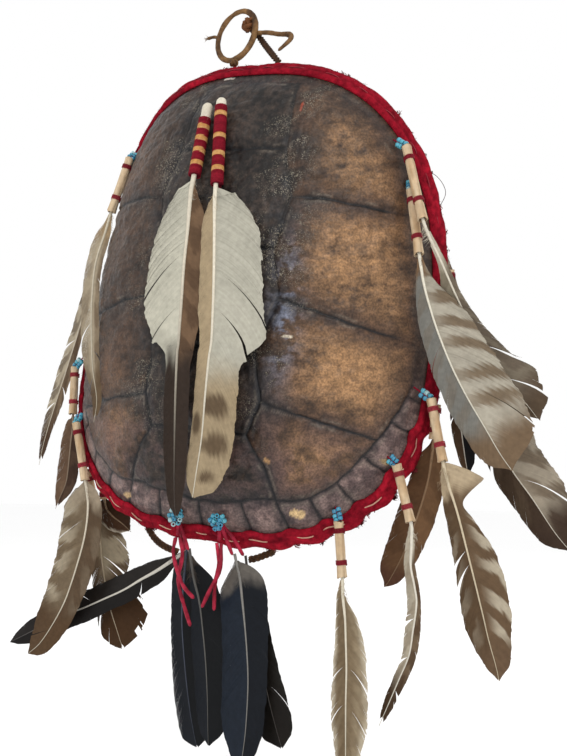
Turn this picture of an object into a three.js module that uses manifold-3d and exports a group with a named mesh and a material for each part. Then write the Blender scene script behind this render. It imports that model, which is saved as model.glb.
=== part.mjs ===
// A large snapping turtle's upper shell, decorated and hung up by a leather loop.
// Millimetres, +Z up. The outside of the shell faces -Y and its head end points up.
// The origin is the top inside of the leather loop, where a nail or hook carries the whole piece.
import * as THREE from 'three';
import { mergeVertices } from 'three/addons/utils/BufferGeometryUtils.js';
import ManifoldModule from 'manifold-3d';

// Shell: plan coordinates are u to the right and w towards the head, depth is measured out of its back
const SHELL_CENTRE = [5.5, 20, -228];
const SHELL_LEAN = THREE.MathUtils.degToRad(7);
const HALF_LENGTH = 171;
const HALF_WIDTH = 143;
const HEAD_TAPER = 0.07;
const OUTLINE_POWER = 2.7;
const END_LIFT = 38;
const DOME_HEIGHT = 80;
const DOME_POWER = 2.3;
const SIDE_ROUNDING = 1.35;
const END_ROUNDING = 1.5;
// The left side is drawn in above the middle and flares below it: rows of the distance towards the head,
// how far the edge is moved out and the rounding of the side there
const LEFT_SIDE = [
  [-171, 0, 1.35], [-100, 6, 1.2], [-65, 4, 1.25], [-10, -9, 2],
  [60, -11, 2], [100, -7, 1.8], [135, -2, 1.5], [171, 0, 1.35],
];
const SHELL_THICKNESS = 5;
const SEAM_DEPTH = 1.1;
const BIG_SCUTE_RELIEF = [[0.14, 0.6], [0.55, 1.4]];
const VERTEBRAL_RISE = 3.2;
const COSTAL_RISE = 2.6;
const MARGINAL_RISE = 0.8;
const LONGEST_SEAM_STEP = 34;
// Growth centres of the vertebral scutes along the spine
const VERTEBRAL_GROWTH = [112, 48, -22, -80, -126];
// How far the growth centre of a costal scute is drawn to its rear corner
const COSTAL_CENTRE_PULL = 0.45;

// Angles of the seams between marginal scutes, from the head round to the tail
const MARGINAL_SEAMS = [0, 12, 26, 40, 54, 66, 79, 87, 91, 97, 105, 113, 126, 139, 150, 160.5, 171, 180];
// Where the marginal scutes begin, as a share of the outline: pairs of angle and share
const MARGINAL_LINE = [[0, 0.925], [100, 0.935], [122, 0.88], [150, 0.875], [165, 0.835], [180, 0.85]];
// Edge stations where the seams between costal scutes and the last costal scute end
const COSTAL_ENDS = [11, 17, 23];
const LAST_COSTAL = 30;
// The strip along the edge that the cloth binding covers
const BAND_SHARE = 0.955;
// The rear edge is scalloped: out in the middle of a marginal scute, in at its seams
const SCALLOP_FROM = 108;
const SCALLOP_OUT = 0.009;
const SCALLOP_IN = -0.005;

// Corners of the vertebral and costal scutes on the right, in plan
const SPINE_CORNERS = {
  first: [41, 102], firstCostal: [52, 68],
  second: [44, 31], secondCostal: [52, -4],
  third: [40, -39], thirdCostal: [45, -74],
  fourth: [37, -96], tail: [51, -118],
};

// Cloth binding: its section, along the shell towards the edge and out from its face
const BINDING_SECTION = [
  [-10.6, 0.5], [-9.8, 3.6], [-5.5, 3], [-2.2, 4.6], [2.6, 4],
  [4.6, -1.5], [1.6, -8.4], [-8.4, -5.5], [0.5, -5.5], [0.5, 0.5],
];

// Leather loop
const LOOP_HALF_WIDTH = 15.5;
const LOOP_HALF_HEIGHT = 24;
const LOOP_TILT = THREE.MathUtils.degToRad(18);
const THONG_RADIUS = 2;
const LOOP_STEPS = 16;
const LOOP_KNOT = [2.5, -17, -47.2];
const LOOP_STUB = [[-14.5, -7, -20], [-19, -8, -18.5], [-25, -8.5, -19]];
const STUB_RADIUS = 1.4;
const KNOT_RADIUS = 4.2;

// Hide sleeves round the quills, with two thread bands each
const SLEEVE_RADIUS = 3.4;
const SLEEVE_BORE = 2.4;
const BAND_RADIUS = 3.9;
const BAND_WIDTH = 3;
const BAND_SPOTS = [0.17, 0.74];
const SLEEVE_SIDES = 6;
const QUILL_RADIUS = 1.6;
const QUILL_START = 0.25;
const TIP_THICKNESS = 0.45;
const VANE_CURL = 0.1;
const BARE_QUILL = 5;

// Beads
const BEAD_RADIUS = 2.3;
const STRING_BEADS = 3;
const BEAD_THREAD_RADIUS = 1;
const BEAD_SIDES = 5;
const HOLE_LIFT = 1.8;
const STRING_GAP = 2.2;

// Colours
const HORN = 0x5a4636;
const WOOL_RED = 0x9c1f2b;
const LEATHER = 0x8a5a3c;
const DARK_CORD = 0x3a261c;
const HIDE = 0xd9bf9c;
const THREAD_RED = 0x8e1c28;
const TURQUOISE = 0x35a6c4;
const WHITE_FEATHER = 0xcfc6b8;
const BARRED_FEATHER = 0x8d8172;
const BROWN_FEATHER = 0x5c4433;
const BLACK_FEATHER = 0x23252b;

// Feathers hung in hide sleeves. top is the sleeve's upper end, and hole is where its bead string comes out
// of the shell just inside the binding: the angle round the edge and the share of the outline.
// Each row of course is a point of the shaft and the widths of the vanes on its left and right there.
const HUNG_FEATHERS = [
  {
    name: 'left_upper_feather_front', colour: WHITE_FEATHER, top: [-88, -17, -108], hole: [-52, 0.94],
    course: [
      [-103, -19, -150, 1.6, 1.6], [-106, -22, -166, 5, 4], [-112, -26, -192, 6, 5],
      [-111, -31, -221, 6, 5.5], [-108, -35, -245, 6.5, 5.5], [-104, -38, -274, 6, 5.5],
      [-99, -39, -299, 4.5, 4], [-102, -38, -316, 1, 1],
    ],
  },
  {
    name: 'left_upper_feather_back', colour: BARRED_FEATHER, top: [-97, -5, -108], hole: [-50, 0.945],
    course: [
      [-114, -3, -144, 1.6, 1.6], [-121, 0, -156, 4, 4], [-131, 4, -176, 5, 4], [-141, 8, -200, 6, 4],
      [-153, 12, -232, 8, 4], [-165, 13, -264, 9, 6], [-178, 14, -297, 8, 6], [-188, 14, -326, 5, 4],
      [-193, 14, -347, 1, 1],
    ],
  },
  {
    name: 'left_middle_feather', colour: BROWN_FEATHER, top: [-149, 1, -268], hole: [-101, 0.94],
    course: [
      [-150, 1, -306, 1.6, 1.6], [-152, 4, -315, 4, 4], [-155, 6, -327, 6, 6], [-158, 8, -343, 7, 7],
      [-161, 9, -360, 7, 7], [-167, 9, -373, 4, 3], [-171, 9, -382, 1.2, 1.2],
    ],
  },
  {
    name: 'left_lower_feather_front', colour: BARRED_FEATHER, top: [-137, -12, -314], hole: [-118, 0.943],
    course: [
      [-128, -11, -359, 1.8, 1.8], [-127, -10, -367, 12, 8], [-127, -8, -378, 21, 10],
      [-128, -8, -393, 23, 11], [-131, -8, -408, 23, 12], [-136, -8, -424, 21, 13],
      [-142, -7, -439, 20, 12], [-149, -6, -454, 19, 11], [-160, -5, -471, 16, 10],
      [-173, -4, -487, 11, 8], [-185, -3, -496, 3, 3],
    ],
  },
  {
    name: 'left_lower_feather_inner', colour: BROWN_FEATHER, top: [-119.9, 1.7, -361.4],
    course: [
      [-120.5, 4.4, -373, 1.6, 1.6], [-119.7, 6.6, -381, 7, 7], [-114.5, 7.5, -387, 9, 9],
      [-106, 9, -393, 6, 6], [-99, 10, -399, 1.2, 1.2],
    ],
  },
  {
    name: 'left_lower_feather_back', colour: BROWN_FEATHER, top: [-134, 0, -351],
    course: [
      [-135, 16, -388, 1.6, 1.6], [-135, 18, -398, 5, 12], [-134, 20, -410, 8, 20],
      [-133, 21, -424, 9, 22], [-131, 22, -438, 10, 18], [-128, 22, -452, 11, 22],
      [-123, 22, -466, 13, 27], [-118, 22, -478, 13, 24], [-113, 22, -490, 7, 12],
    ],
  },
  {
    name: 'bottom_right_feather', colour: BARRED_FEATHER, top: [86, -21, -386], hole: [144.5, 0.94],
    course: [
      [88, -20, -423, 1.6, 1.6], [88, -19, -436, 5, 2], [89, -18, -450, 7, 8], [89, -17, -463, 8, 12],
      [89, -16, -484, 10, 14], [88, -15, -504, 11, 15], [87, -13, -526, 10, 14], [86, -11, -547, 7, 9],
      [85, -10, -562, 1.5, 1.5],
    ],
  },
  {
    name: 'bottom_right_twisted_feather', colour: WHITE_FEATHER, top: [123, -8, -348], hole: [122, 0.94],
    course: [
      [132, -7, -386, 1.6, 1.6], [132, -6, -400, 4, 2], [131, -5, -415, 5, 3], [133, -4, -428, 6, 3],
      [134, -3, -440, 7, 3], [131, -2, -458, 6, 5], [128, -2, -474, 5, 5], [121, -2, -490, 4, 5],
      [114, -1, -505, 4, 4], [106, 0, -522, 1.2, 1.2],
    ],
  },
  {
    name: 'right_lower_feather_front', colour: BARRED_FEATHER, top: [146, -2, -304], hole: [102.5, 0.94],
    course: [
      [154, -5, -346, 1.6, 1.6], [156, -4, -356, 4, 10], [158, -4, -364, 6, 22], [161, -3, -374, 8, 5],
      [164, -2, -386, 9, 8], [168, -1, -404, 10, 15], [172, 1, -423, 12, 18], [177, 2, -446, 14, 17],
      [180, 3, -461, 12, 14], [184, 4, -477, 7, 9], [186, 4, -487, 1.5, 1.5],
    ],
  },
  {
    name: 'right_lower_feather_back', colour: BROWN_FEATHER, top: [146.6, 8.4, -307],
    course: [
      [143.6, 12.2, -330, 1.6, 1.6], [141.5, 12.6, -345, 6, 6], [139, 13, -358, 8, 9],
      [134, 14, -374, 10, 10], [127, 15, -392, 10, 10], [119, 15, -411, 9, 8], [110, 15, -427, 5, 4],
      [106, 15, -432, 1.5, 1.5],
    ],
  },
  {
    name: 'right_upper_feather_front', colour: BARRED_FEATHER, top: [136.8, -11.5, -160.6], hole: [61, 0.94],
    course: [
      [144, -19, -208, 1.6, 1.6], [147, -19, -229, 6, 8], [151, -18, -246, 10, 18],
      [156, -17, -263, 12, 24], [164, -15, -285, 14, 28], [173, -12, -305, 15, 30],
      [183, -9, -324, 15, 30], [192, -7, -341, 12, 24], [199, -5, -352, 2, 4],
    ],
  },
  {
    name: 'right_upper_feather_middle', colour: BARRED_FEATHER,
    top: [134.8, -14, -130.7], hole: [49.5, 0.946],
    course: [
      [148.6, -25, -186.5, 1.6, 1.6], [159.5, -20, -215.4, 3, 3], [166.7, -12, -236.6, 10, 4],
      [174, -3, -256, 16, 7],
      [182, 0, -271, 18, 10], [190, 2, -286, 18, 14], [198, 4, -297, 16, 20], [207, 6, -308, 12, 15],
      [214, 8, -318, 3, 3],
    ],
  },
  {
    name: 'right_upper_feather_back', colour: BARRED_FEATHER, top: [141, 25, -150.5],
    course: [
      [147, 27, -186.5, 1.6, 1.6], [152, 29, -224, 4, 4], [157, 33, -253, 10, 10], [164, 31, -280, 12, 14],
      [173, 30, -307, 14, 18], [183, 29, -329, 14, 20], [192, 29, -350, 14, 20],
      [206, 30, -371, 14, 20], [219, 31, -392, 12, 15], [229, 32, -405, 2, 3],
    ],
  },
  {
    name: 'right_upper_feather_inner', colour: BLACK_FEATHER, top: [156.2, 15.2, -213.2],
    course: [
      [156.2, 16.2, -235.2, 1.6, 1.6], [158, 17, -258, 5, 5], [159, 18, -280, 7, 8],
      [160, 19, -300, 7, 9], [161, 19, -322, 7, 9], [163, 20, -342, 5, 7], [165, 20, -355, 2, 3],
    ],
  },
];

// Feathers tied straight to the lower rim, with bare quills
const TIED_FEATHERS = [
  {
    name: 'bottom_black_feather_1', colour: BLACK_FEATHER,
    course: [
      [-31, -21, -409, 1.6, 1.6], [-33, -20, -424, 10, 6], [-35, -19, -441, 10, 10],
      [-36, -18, -460, 10, 12], [-35, -17, -480, 11, 14], [-33, -16, -502, 12, 15],
      [-30, -15, -524, 12, 15], [-27, -14, -540, 11, 14], [-25, -14, -547, 6, 9],
    ],
  },
  {
    name: 'bottom_black_feather_2', colour: BLACK_FEATHER,
    course: [
      [-25, -26, -412, 1.5, 1.5], [-22, -26, -428, 4, 9], [-18, -25, -444, 7, 13],
      [-15, -25, -464, 10, 15], [-13, -24, -486, 11, 15], [-12, -23, -510, 10, 14],
      [-12, -22, -530, 8, 11], [-12, -21, -543, 3, 4],
    ],
  },
  {
    name: 'bottom_black_feather_3', colour: BLACK_FEATHER,
    course: [
      [14, -31, -414, 1.6, 1.6], [17, -31, -426, 11, 13], [19, -31, -441, 14, 14],
      [21, -31, -458, 15, 13], [22, -30, -474, 16, 11], [23, -30, -492, 17, 10], [22, -29, -510, 17, 9],
      [20, -28, -530, 15, 8], [17, -27, -547, 9, 6], [14, -26, -557, 2, 2],
    ],
  },
  {
    name: 'bottom_black_feather_4', colour: BLACK_FEATHER,
    course: [
      [17, -21, -416, 1.5, 1.5], [19, -20, -434, 4, 5], [21, -19, -450, 7, 7], [24, -18, -470, 9, 8],
      [28, -17, -490, 11, 9], [33, -16, -512, 13, 10], [38, -15, -530, 13, 9], [41, -14, -540, 7, 5],
    ],
  },
  {
    name: 'bottom_black_feather_left', colour: BLACK_FEATHER,
    course: [
      [-36, -16.4, -411, 1.6, 1.6], [-48, -11, -417, 3, 4], [-65, -6, -426, 8, 9],
      [-82, -2, -434, 10, 10], [-100, 2, -443, 12, 10], [-120, 6, -451, 12, 10],
      [-140, 9, -459, 12, 11], [-162, 12, -467, 11, 11], [-183, 14, -476, 10, 10],
      [-203, 16, -485, 8, 8], [-221, 18, -493, 2, 2],
    ],
  },
];

// The two centre feathers lie on the shell's back, their quills standing up out of the thread wraps
const CENTRE_FEATHERS = [
  {
    name: 'centre_feather_left', colour: WHITE_FEATHER,
    quill: [-1, -49, -90], wrap: [[-2, -52, -103], [-4, -63, -147]],
    course: [
      [-4, -64, -149, 1.8, 1.8], [-5, -66, -161, 14, 4], [-6, -68, -187, 27, 6], [-8, -69, -211, 30, 7],
      [-9, -70, -236, 32, 7], [-11, -70, -265, 23, 8], [-12, -70, -273, 10, 9],
      [-13, -70, -304, 10, 10], [-15, -67, -344, 9, 9], [-18, -61, -371, 6, 6],
      [-20, -55, -385, 1.5, 1.5],
    ],
  },
  {
    name: 'centre_feather_right', colour: WHITE_FEATHER,
    quill: [11, -51.4, -89], wrap: [[11.2, -52.7, -96], [14.2, -63.7, -156]],
    course: [
      [14, -65, -158, 1.8, 1.8], [15, -68, -170, 5, 18], [16, -70, -194, 7, 32], [17, -72, -220, 8, 34],
      [17, -73, -244, 8, 35], [16, -73, -266, 8, 38], [14, -73, -279, 9, 24], [11, -72, -303, 9, 23],
      [7, -69, -330, 9, 23], [1, -65, -353, 9, 20], [-4, -61, -370, 4, 8],
    ],
  },
];
const CENTRE_QUILL_RADIUS = 1.9;
const WRAP_RADIUS = 4.6;
const WRAP_BORE = 2.9;
const WRAP_BANDS = 4;
const WRAP_BAND_RADIUS = 5;
const WRAP_BAND_WIDTH = 4;

// Bunches of beads on strings that hang from one knot; the strings run on to the quills that they hold
const BEAD_BUNCHES = [
  {
    name: 'bead_bunch_left', knot: [-32, -33.8, -384.5],
    feet: [[-31.2, -24, -409], [-31, -34, -398.2], [-25.3, -28.9, -408]],
  },
  {
    name: 'bead_bunch_right', knot: [3, -35.8, -387],
    feet: [[3.5, -36.5, -400.5], [12.6, -33.9, -410], [16, -23.8, -411]],
  },
];
const BUNCH_BEADS = 3;
const BUNCH_BEAD_LENGTH = 3.2;
const BUNCH_KNOT_RADIUS = 3;

// Courses of the free thongs and cords
const RED_THONG_RADIUS = 1.5;
const RED_THONGS = {
  red_thong_left_long: [
    [-29.2, -34, -399.3], [-26, -36, -411], [-29, -36, -429], [-25, -35, -445], [-20, -34, -460],
  ],
  red_thong_left_short: [[-32.7, -34.3, -399.3], [-31, -39.5, -411], [-23, -41, -430], [-14, -40, -440]],
  red_thong_right_cross: [[5.4, -37, -401.6], [6, -39.5, -419], [-1, -39.5, -432], [-9, -38, -446]],
  red_thong_right_long: [[1.8, -36.6, -401.6], [3, -36, -416], [0, -35.5, -430], [-1, -35, -448]],
};
const LOOP_TAIL = [
  [17.9, -7, -22], [26, -6, -23], [35, -6, -26], [44, -8, -29], [46, -10, -34], [37, -12, -42],
];
const BRAID_RADIUS = 2.4;
const HANGING_BRAID = [
  [40, -17.1, -53.9], [34, -14, -46], [27, -8.5, -37], [21, -4, -29], [16, -1.8, -22], [9, -3, -14],
];
const LOWER_BRAIDS = {
  lower_braid_left: [[-70, -11.9, -393.9], [-62, -14, -402], [-52, -17, -407], [-40.5, -17.9, -410.6]],
  lower_braid_right: [[36, -16.3, -408.2], [30, -18.5, -410.5], [25, -21, -412.5], [20.2, -23, -413.6]],
};
const CORD_SIDES = 8;
const CORD_STEP_DIAMETERS = 3;

const wasm = await ManifoldModule();
wasm.setup();

// Turns an array of three numbers into a vector
function vec([x, y, z]) {
  return new THREE.Vector3(x, y, z);
}

// Merges a closed geometry's shared points, drops its empty triangles and turns its faces outwards
function closed(geometry) {
  const bare = geometry.clone();
  bare.deleteAttribute('normal');
  bare.deleteAttribute('uv');
  const merged = mergeVertices(bare, 1e-3);
  const points = [];
  for (let i = 0; i < merged.attributes.position.count; i++) {
    points.push(new THREE.Vector3().fromBufferAttribute(merged.attributes.position, i));
  }
  const order = merged.index.array;
  const faces = [];
  let volume = 0;
  for (let i = 0; i < order.length; i += 3) {
    const [a, b, c] = order.slice(i, i + 3);
    if (a !== b && b !== c && c !== a) {
      faces.push([a, b, c]);
      volume += points[a].dot(new THREE.Vector3().crossVectors(points[b], points[c]));
    }
  }
  merged.setIndex(faces.flatMap(([a, b, c]) => (volume > 0 ? [a, b, c] : [a, c, b])));
  return merged;
}

// A closed body from points and triangles
function body(points, faces) {
  const geometry = new THREE.BufferGeometry();
  const numbers = points.flatMap((p) => [p.x, p.y, p.z]);
  geometry.setAttribute('position', new THREE.Float32BufferAttribute(numbers, 3));
  geometry.setIndex(faces.flat());
  return closed(geometry);
}

// A body through rings of points, running round on itself or capped at both ends
function loft(rings, endless = false) {
  const sides = rings[0].length;
  const faces = [];
  const steps = endless ? rings.length : rings.length - 1;
  for (let i = 0; i < steps; i++) {
    const here = i * sides;
    const next = ((i + 1) % rings.length) * sides;
    for (let j = 0; j < sides; j++) {
      const k = (j + 1) % sides;
      faces.push([here + j, here + k, next + k], [here + j, next + k, next + j]);
    }
  }
  if (!endless) {
    const last = (rings.length - 1) * sides;
    for (let j = 1; j < sides - 1; j++) {
      faces.push([0, j + 1, j], [last, last + j, last + j + 1]);
    }
  }
  return body(rings.flat(), faces);
}

// Joins overlapping closed geometries into one body
function join(geometries) {
  const solids = geometries.map((geometry) => new wasm.Manifold(new wasm.Mesh({
    numProp: 3,
    vertProperties: new Float32Array(geometry.attributes.position.array),
    triVerts: new Uint32Array(geometry.index.array),
  })));
  const mesh = solids.reduce((whole, next) => whole.add(next)).getMesh();
  const joined = new THREE.BufferGeometry();
  joined.setAttribute('position', new THREE.BufferAttribute(new Float32Array(mesh.vertProperties), 3));
  joined.setIndex(new THREE.BufferAttribute(new Uint32Array(mesh.triVerts), 1));
  return joined;
}

// A body turned round the Y axis from [radius, height] pairs, stood on one point and aimed at another
function turned(profile, sides, from, to) {
  const lathe = closed(new THREE.LatheGeometry(profile.map(([r, y]) => new THREE.Vector2(r, y)), sides));
  const aim = to.clone().sub(from).normalize();
  const turn = new THREE.Quaternion().setFromUnitVectors(new THREE.Vector3(0, 1, 0), aim);
  return lathe.applyQuaternion(turn).translate(from.x, from.y, from.z);
}

// Reads a list of [position, value] pairs as a line of straight stretches
function along(pairs, at) {
  const next = Math.max(1, pairs.findIndex(([position]) => position >= at));
  const [[from, low], [to, high]] = [pairs[next - 1], pairs[next]];
  return low + (high - low) * (at - from) / (to - from);
}

const group = new THREE.Group();

// Adds a finished geometry as a named piece with its own material
function add(name, geometry, colour, roughness = 0.8) {
  const material = new THREE.MeshStandardMaterial({ color: colour, roughness, metalness: 0 });
  const mesh = new THREE.Mesh(geometry, material);
  mesh.name = name;
  group.add(mesh);
}

// How far the left edge is moved out and its rounding, eased between the rows
function leftSide(w) {
  const next = Math.max(1, LEFT_SIDE.findIndex(([row]) => row >= Math.min(w, HALF_LENGTH)));
  const [[from, ...low], [to, ...high]] = [LEFT_SIDE[next - 1], LEFT_SIDE[next]];
  const share = THREE.MathUtils.smoothstep(w, from, to);
  return low.map((value, i) => value + (high[i] - value) * share);
}

// Half width of the shell on the side of u at a distance towards the head
function halfWidth(u, w) {
  const even = HALF_WIDTH * (1 - HEAD_TAPER * w / HALF_LENGTH);
  return u < 0 ? even + leftSide(w)[0] : even;
}

// Plan point at an angle from the head, positive to the right, and a share of the outline
function planPoint(angle, share) {
  const turn = THREE.MathUtils.degToRad(angle);
  const power = 2 / OUTLINE_POWER;
  const w = share * HALF_LENGTH * Math.sign(Math.cos(turn)) * Math.abs(Math.cos(turn)) ** power;
  const side = Math.sign(Math.sin(turn)) * Math.abs(Math.sin(turn)) ** power;
  return [share * halfWidth(side, w) * side, w];
}

// Depth of the dome over a plan point
function domeDepth(u, w) {
  const across = Math.abs(u / halfWidth(u, w)) ** OUTLINE_POWER;
  const lengthwise = Math.abs(w / HALF_LENGTH) ** OUTLINE_POWER;
  const sum = Math.max(across + lengthwise, 1e-9);
  const share = Math.min(sum ** (1 / OUTLINE_POWER), 1);
  const endwise = lengthwise / sum;
  const rim = END_LIFT * endwise;
  const sideRounding = u < 0 ? leftSide(w)[1] : SIDE_ROUNDING;
  const rounding = sideRounding + (END_ROUNDING - sideRounding) * endwise;
  return rim + (DOME_HEIGHT - rim) * (1 - share ** DOME_POWER) ** (1 / rounding);
}

// Point of the object over a plan point, on the dome
function onDome(u, w) {
  const x = u * Math.cos(SHELL_LEAN) + w * Math.sin(SHELL_LEAN);
  const z = -u * Math.sin(SHELL_LEAN) + w * Math.cos(SHELL_LEAN);
  return new THREE.Vector3(x, -domeDepth(u, w), z).add(vec(SHELL_CENTRE));
}

// Point of the shell, raised from the dome along its normal
function onShell([u, w], raised = 0) {
  const step = 0.5;
  const slopeU = onDome(u + step, w).sub(onDome(u - step, w));
  const slopeW = onDome(u, w + step).sub(onDome(u, w - step));
  return onDome(u, w).addScaledVector(slopeU.cross(slopeW).normalize(), raised);
}

// Stations round the edge, from the head to the tail: each marginal seam and each marginal scute's middle
const STATIONS = MARGINAL_SEAMS.flatMap((angle, i) => {
  return i ? [(MARGINAL_SEAMS[i - 1] + angle) / 2, angle] : [angle];
});
const TAIL = STATIONS.length - 1;

// Angle of a station, negative on the left
function stationAngle(index) {
  return Math.sign(index) * STATIONS[Math.abs(index)];
}

// The shell's edge strip at a station: its two borders, the way to the edge and the way out of its face
function edgeStrip(index) {
  const angle = stationAngle(index);
  const scallop = index % 2 === 0 ? SCALLOP_IN : SCALLOP_OUT;
  const rim = onDome(...planPoint(angle, Math.abs(angle) > SCALLOP_FROM ? 1 + scallop : 1));
  const border = onShell(planPoint(angle, BAND_SHARE));
  const towards = rim.clone().sub(border).normalize();
  const round = onDome(...planPoint(angle + 0.5, 1)).sub(onDome(...planPoint(angle - 0.5, 1)));
  const out = round.cross(towards).normalize();
  const inward = out.clone().multiplyScalar(-SHELL_THICKNESS);
  const innerRim = rim.clone().add(inward);
  const innerBorder = border.clone().add(inward);
  return { rim, border, towards, out, innerRim, innerBorder };
}

// A corner of a scute on its seam, and one on the edge strip
function seamCorner(plan) {
  return { plan, outer: onShell(plan, -SEAM_DEPTH), inner: onShell(plan, -SHELL_THICKNESS) };
}

function stripCorner(index) {
  const { border, innerBorder } = edgeStrip(index);
  return { plan: planPoint(stationAngle(index), BAND_SHARE), outer: border, inner: innerBorder };
}

// Seam corners along the marginal line from one station to another
function seamLine(from, to) {
  const step = Math.sign(to - from);
  const corners = [];
  for (let index = from; index !== to + step; index += step) {
    const angle = stationAngle(index);
    corners.push(seamCorner(planPoint(angle, along(MARGINAL_LINE, Math.abs(angle)))));
  }
  return corners;
}

// The growth centre of a scute: the mean of its corners, drawn towards one of them
function growthCentre(outline, towards = outline[0], pull = 0) {
  return [0, 1].map((axis) => {
    const mean = outline.reduce((sum, corner) => sum + corner.plan[axis], 0) / outline.length;
    return mean + (towards.plan[axis] - mean) * pull;
  });
}

// All scutes: outline, growth centre, rise at that centre and the raised rings between them
function scutes() {
  const right = {};
  const left = {};
  for (const [name, [u, w]] of Object.entries(SPINE_CORNERS)) {
    right[name] = seamCorner([u, w]);
    left[name] = seamCorner([-u, w]);
  }
  const list = [];
  const vertebral = (outline, growth) => {
    list.push({ outline, centre: [0, growth], rise: VERTEBRAL_RISE, relief: BIG_SCUTE_RELIEF });
  };
  const costal = (outline, rear) => {
    const centre = growthCentre(outline, rear, COSTAL_CENTRE_PULL);
    list.push({ outline, centre, rise: COSTAL_RISE, relief: BIG_SCUTE_RELIEF });
  };
  const marginal = (from, to) => {
    const strip = [];
    for (let index = to; index >= from; index--) strip.push(stripCorner(index));
    const outline = [...seamLine(from, to), ...strip];
    list.push({ outline, centre: growthCentre(outline), rise: MARGINAL_RISE, relief: [] });
  };
  const span = (...names) => {
    return [...names.map((name) => right[name]), ...names.reverse().map((name) => left[name])];
  };
  vertebral([...seamLine(-2, 2), right.first, left.first], VERTEBRAL_GROWTH[0]);
  vertebral(span('first', 'firstCostal', 'second'), VERTEBRAL_GROWTH[1]);
  vertebral(span('second', 'secondCostal', 'third'), VERTEBRAL_GROWTH[2]);
  vertebral(span('third', 'thirdCostal', 'fourth'), VERTEBRAL_GROWTH[3]);
  vertebral([right.fourth, right.tail, ...seamLine(LAST_COSTAL, TAIL), ...seamLine(1 - TAIL, -LAST_COSTAL),
    left.tail, left.fourth], VERTEBRAL_GROWTH[4]);
  for (const [side, corner] of [[1, right], [-1, left]]) {
    const rim = (from, to) => seamLine(side * from, side * to);
    const [one, two, three] = COSTAL_ENDS;
    costal([corner.first, corner.firstCostal, ...rim(one, 2)], corner.firstCostal);
    costal([corner.firstCostal, corner.second, corner.secondCostal, ...rim(two, one)], corner.secondCostal);
    costal([corner.secondCostal, corner.third, corner.thirdCostal, ...rim(three, two)], corner.thirdCostal);
    costal([corner.thirdCostal, corner.fourth, corner.tail, ...rim(LAST_COSTAL, three)], corner.tail);
  }
  marginal(-2, 2);
  for (let index = 2; index < TAIL; index += 2) {
    marginal(index, index + 2);
    marginal(-index - 2, -index);
  }
  return list;
}

// An outline with its long sides cut into shorter steps, running anticlockwise seen from outside
function steppedOutline(outline) {
  const corners = [];
  let area = 0;
  outline.forEach((corner, i) => {
    const next = outline[(i + 1) % outline.length];
    const [du, dw] = [next.plan[0] - corner.plan[0], next.plan[1] - corner.plan[1]];
    area += corner.plan[0] * dw - corner.plan[1] * du;
    const steps = Math.max(1, Math.ceil(Math.hypot(du, dw) / LONGEST_SEAM_STEP - 1e-6));
    corners.push(corner);
    for (let s = 1; s < steps; s++) {
      corners.push(seamCorner([corner.plan[0] + du * s / steps, corner.plan[1] + dw * s / steps]));
    }
  });
  return area < 0 ? corners.reverse() : corners;
}

function shellGeometry() {
  const points = [];
  const faces = [];
  const triangle = (...corners) => faces.push(corners.map((corner) => points.push(corner) - 1));
  const quad = (a, b, c, d) => {
    triangle(a, b, c);
    triangle(a, c, d);
  };
  for (const { outline, centre, rise, relief } of scutes()) {
    const around = steppedOutline(outline);
    const rings = [around.map(({ outer }) => outer)];
    for (const [share, raised] of relief) {
      rings.push(around.map(({ plan: [u, w] }) => {
        return onShell([u + (centre[0] - u) * share, w + (centre[1] - w) * share], raised);
      }));
    }
    const peak = onShell(centre, rise);
    const floor = onShell(centre, -SHELL_THICKNESS);
    around.forEach((corner, j) => {
      const k = (j + 1) % around.length;
      for (let r = 1; r < rings.length; r++) {
        quad(rings[r - 1][j], rings[r - 1][k], rings[r][k], rings[r][j]);
      }
      triangle(rings[rings.length - 1][j], rings[rings.length - 1][k], peak);
      triangle(around[k].inner, corner.inner, floor);
    });
  }
  for (let index = 1 - TAIL; index <= TAIL; index++) {
    const here = edgeStrip(index);
    const next = edgeStrip(index === TAIL ? 1 - TAIL : index + 1);
    quad(next.border, next.rim, here.rim, here.border);
    quad(here.rim, next.rim, next.innerRim, here.innerRim);
    quad(next.innerRim, next.innerBorder, here.innerBorder, here.innerRim);
  }
  return body(points, faces);
}

// The cloth folded over the shell's edge
function bindingGeometry() {
  const rings = [];
  for (let index = 1 - TAIL; index <= TAIL; index++) {
    const { rim, towards, out } = edgeStrip(index);
    rings.push(BINDING_SECTION.map(([s, n]) => {
      return rim.clone().addScaledVector(towards, s).addScaledVector(out, n);
    }));
  }
  return loft(rings, true);
}

// A feather with its vanes and shaft in one, its quill running back to a point inside what holds it
function featherGeometry(course, quillEnd, quillRadius = QUILL_RADIUS) {
  const shaft = course.map(([x, y, z]) => new THREE.Vector3(x, y, z));
  const curve = new THREE.CatmullRomCurve3([quillEnd, ...shaft], false, 'catmullrom', 0.5);
  const segments = shaft.length;
  const rings = [];
  const section = (at, leftWidth, rightWidth, thickness) => {
    const point = curve.getPoint(at / segments);
    const tangent = curve.getTangent(at / segments);
    const across = new THREE.Vector3(0, -1, 0).cross(tangent).normalize();
    const facing = tangent.clone().cross(across);
    const edge = (width) => point.clone().addScaledVector(across, width)
      .addScaledVector(facing, -VANE_CURL * Math.abs(width));
    rings.push([edge(-leftWidth), point.clone().addScaledVector(facing, thickness),
      edge(rightWidth), point.clone().addScaledVector(facing, -thickness)]);
  };
  section(0, quillRadius, quillRadius, quillRadius);
  course.forEach((row, i) => {
    const thickness = quillRadius + (TIP_THICKNESS - quillRadius) * i / (course.length - 1);
    section(1 + i, row[3], row[4], thickness);
  });
  return loft(rings);
}

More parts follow.
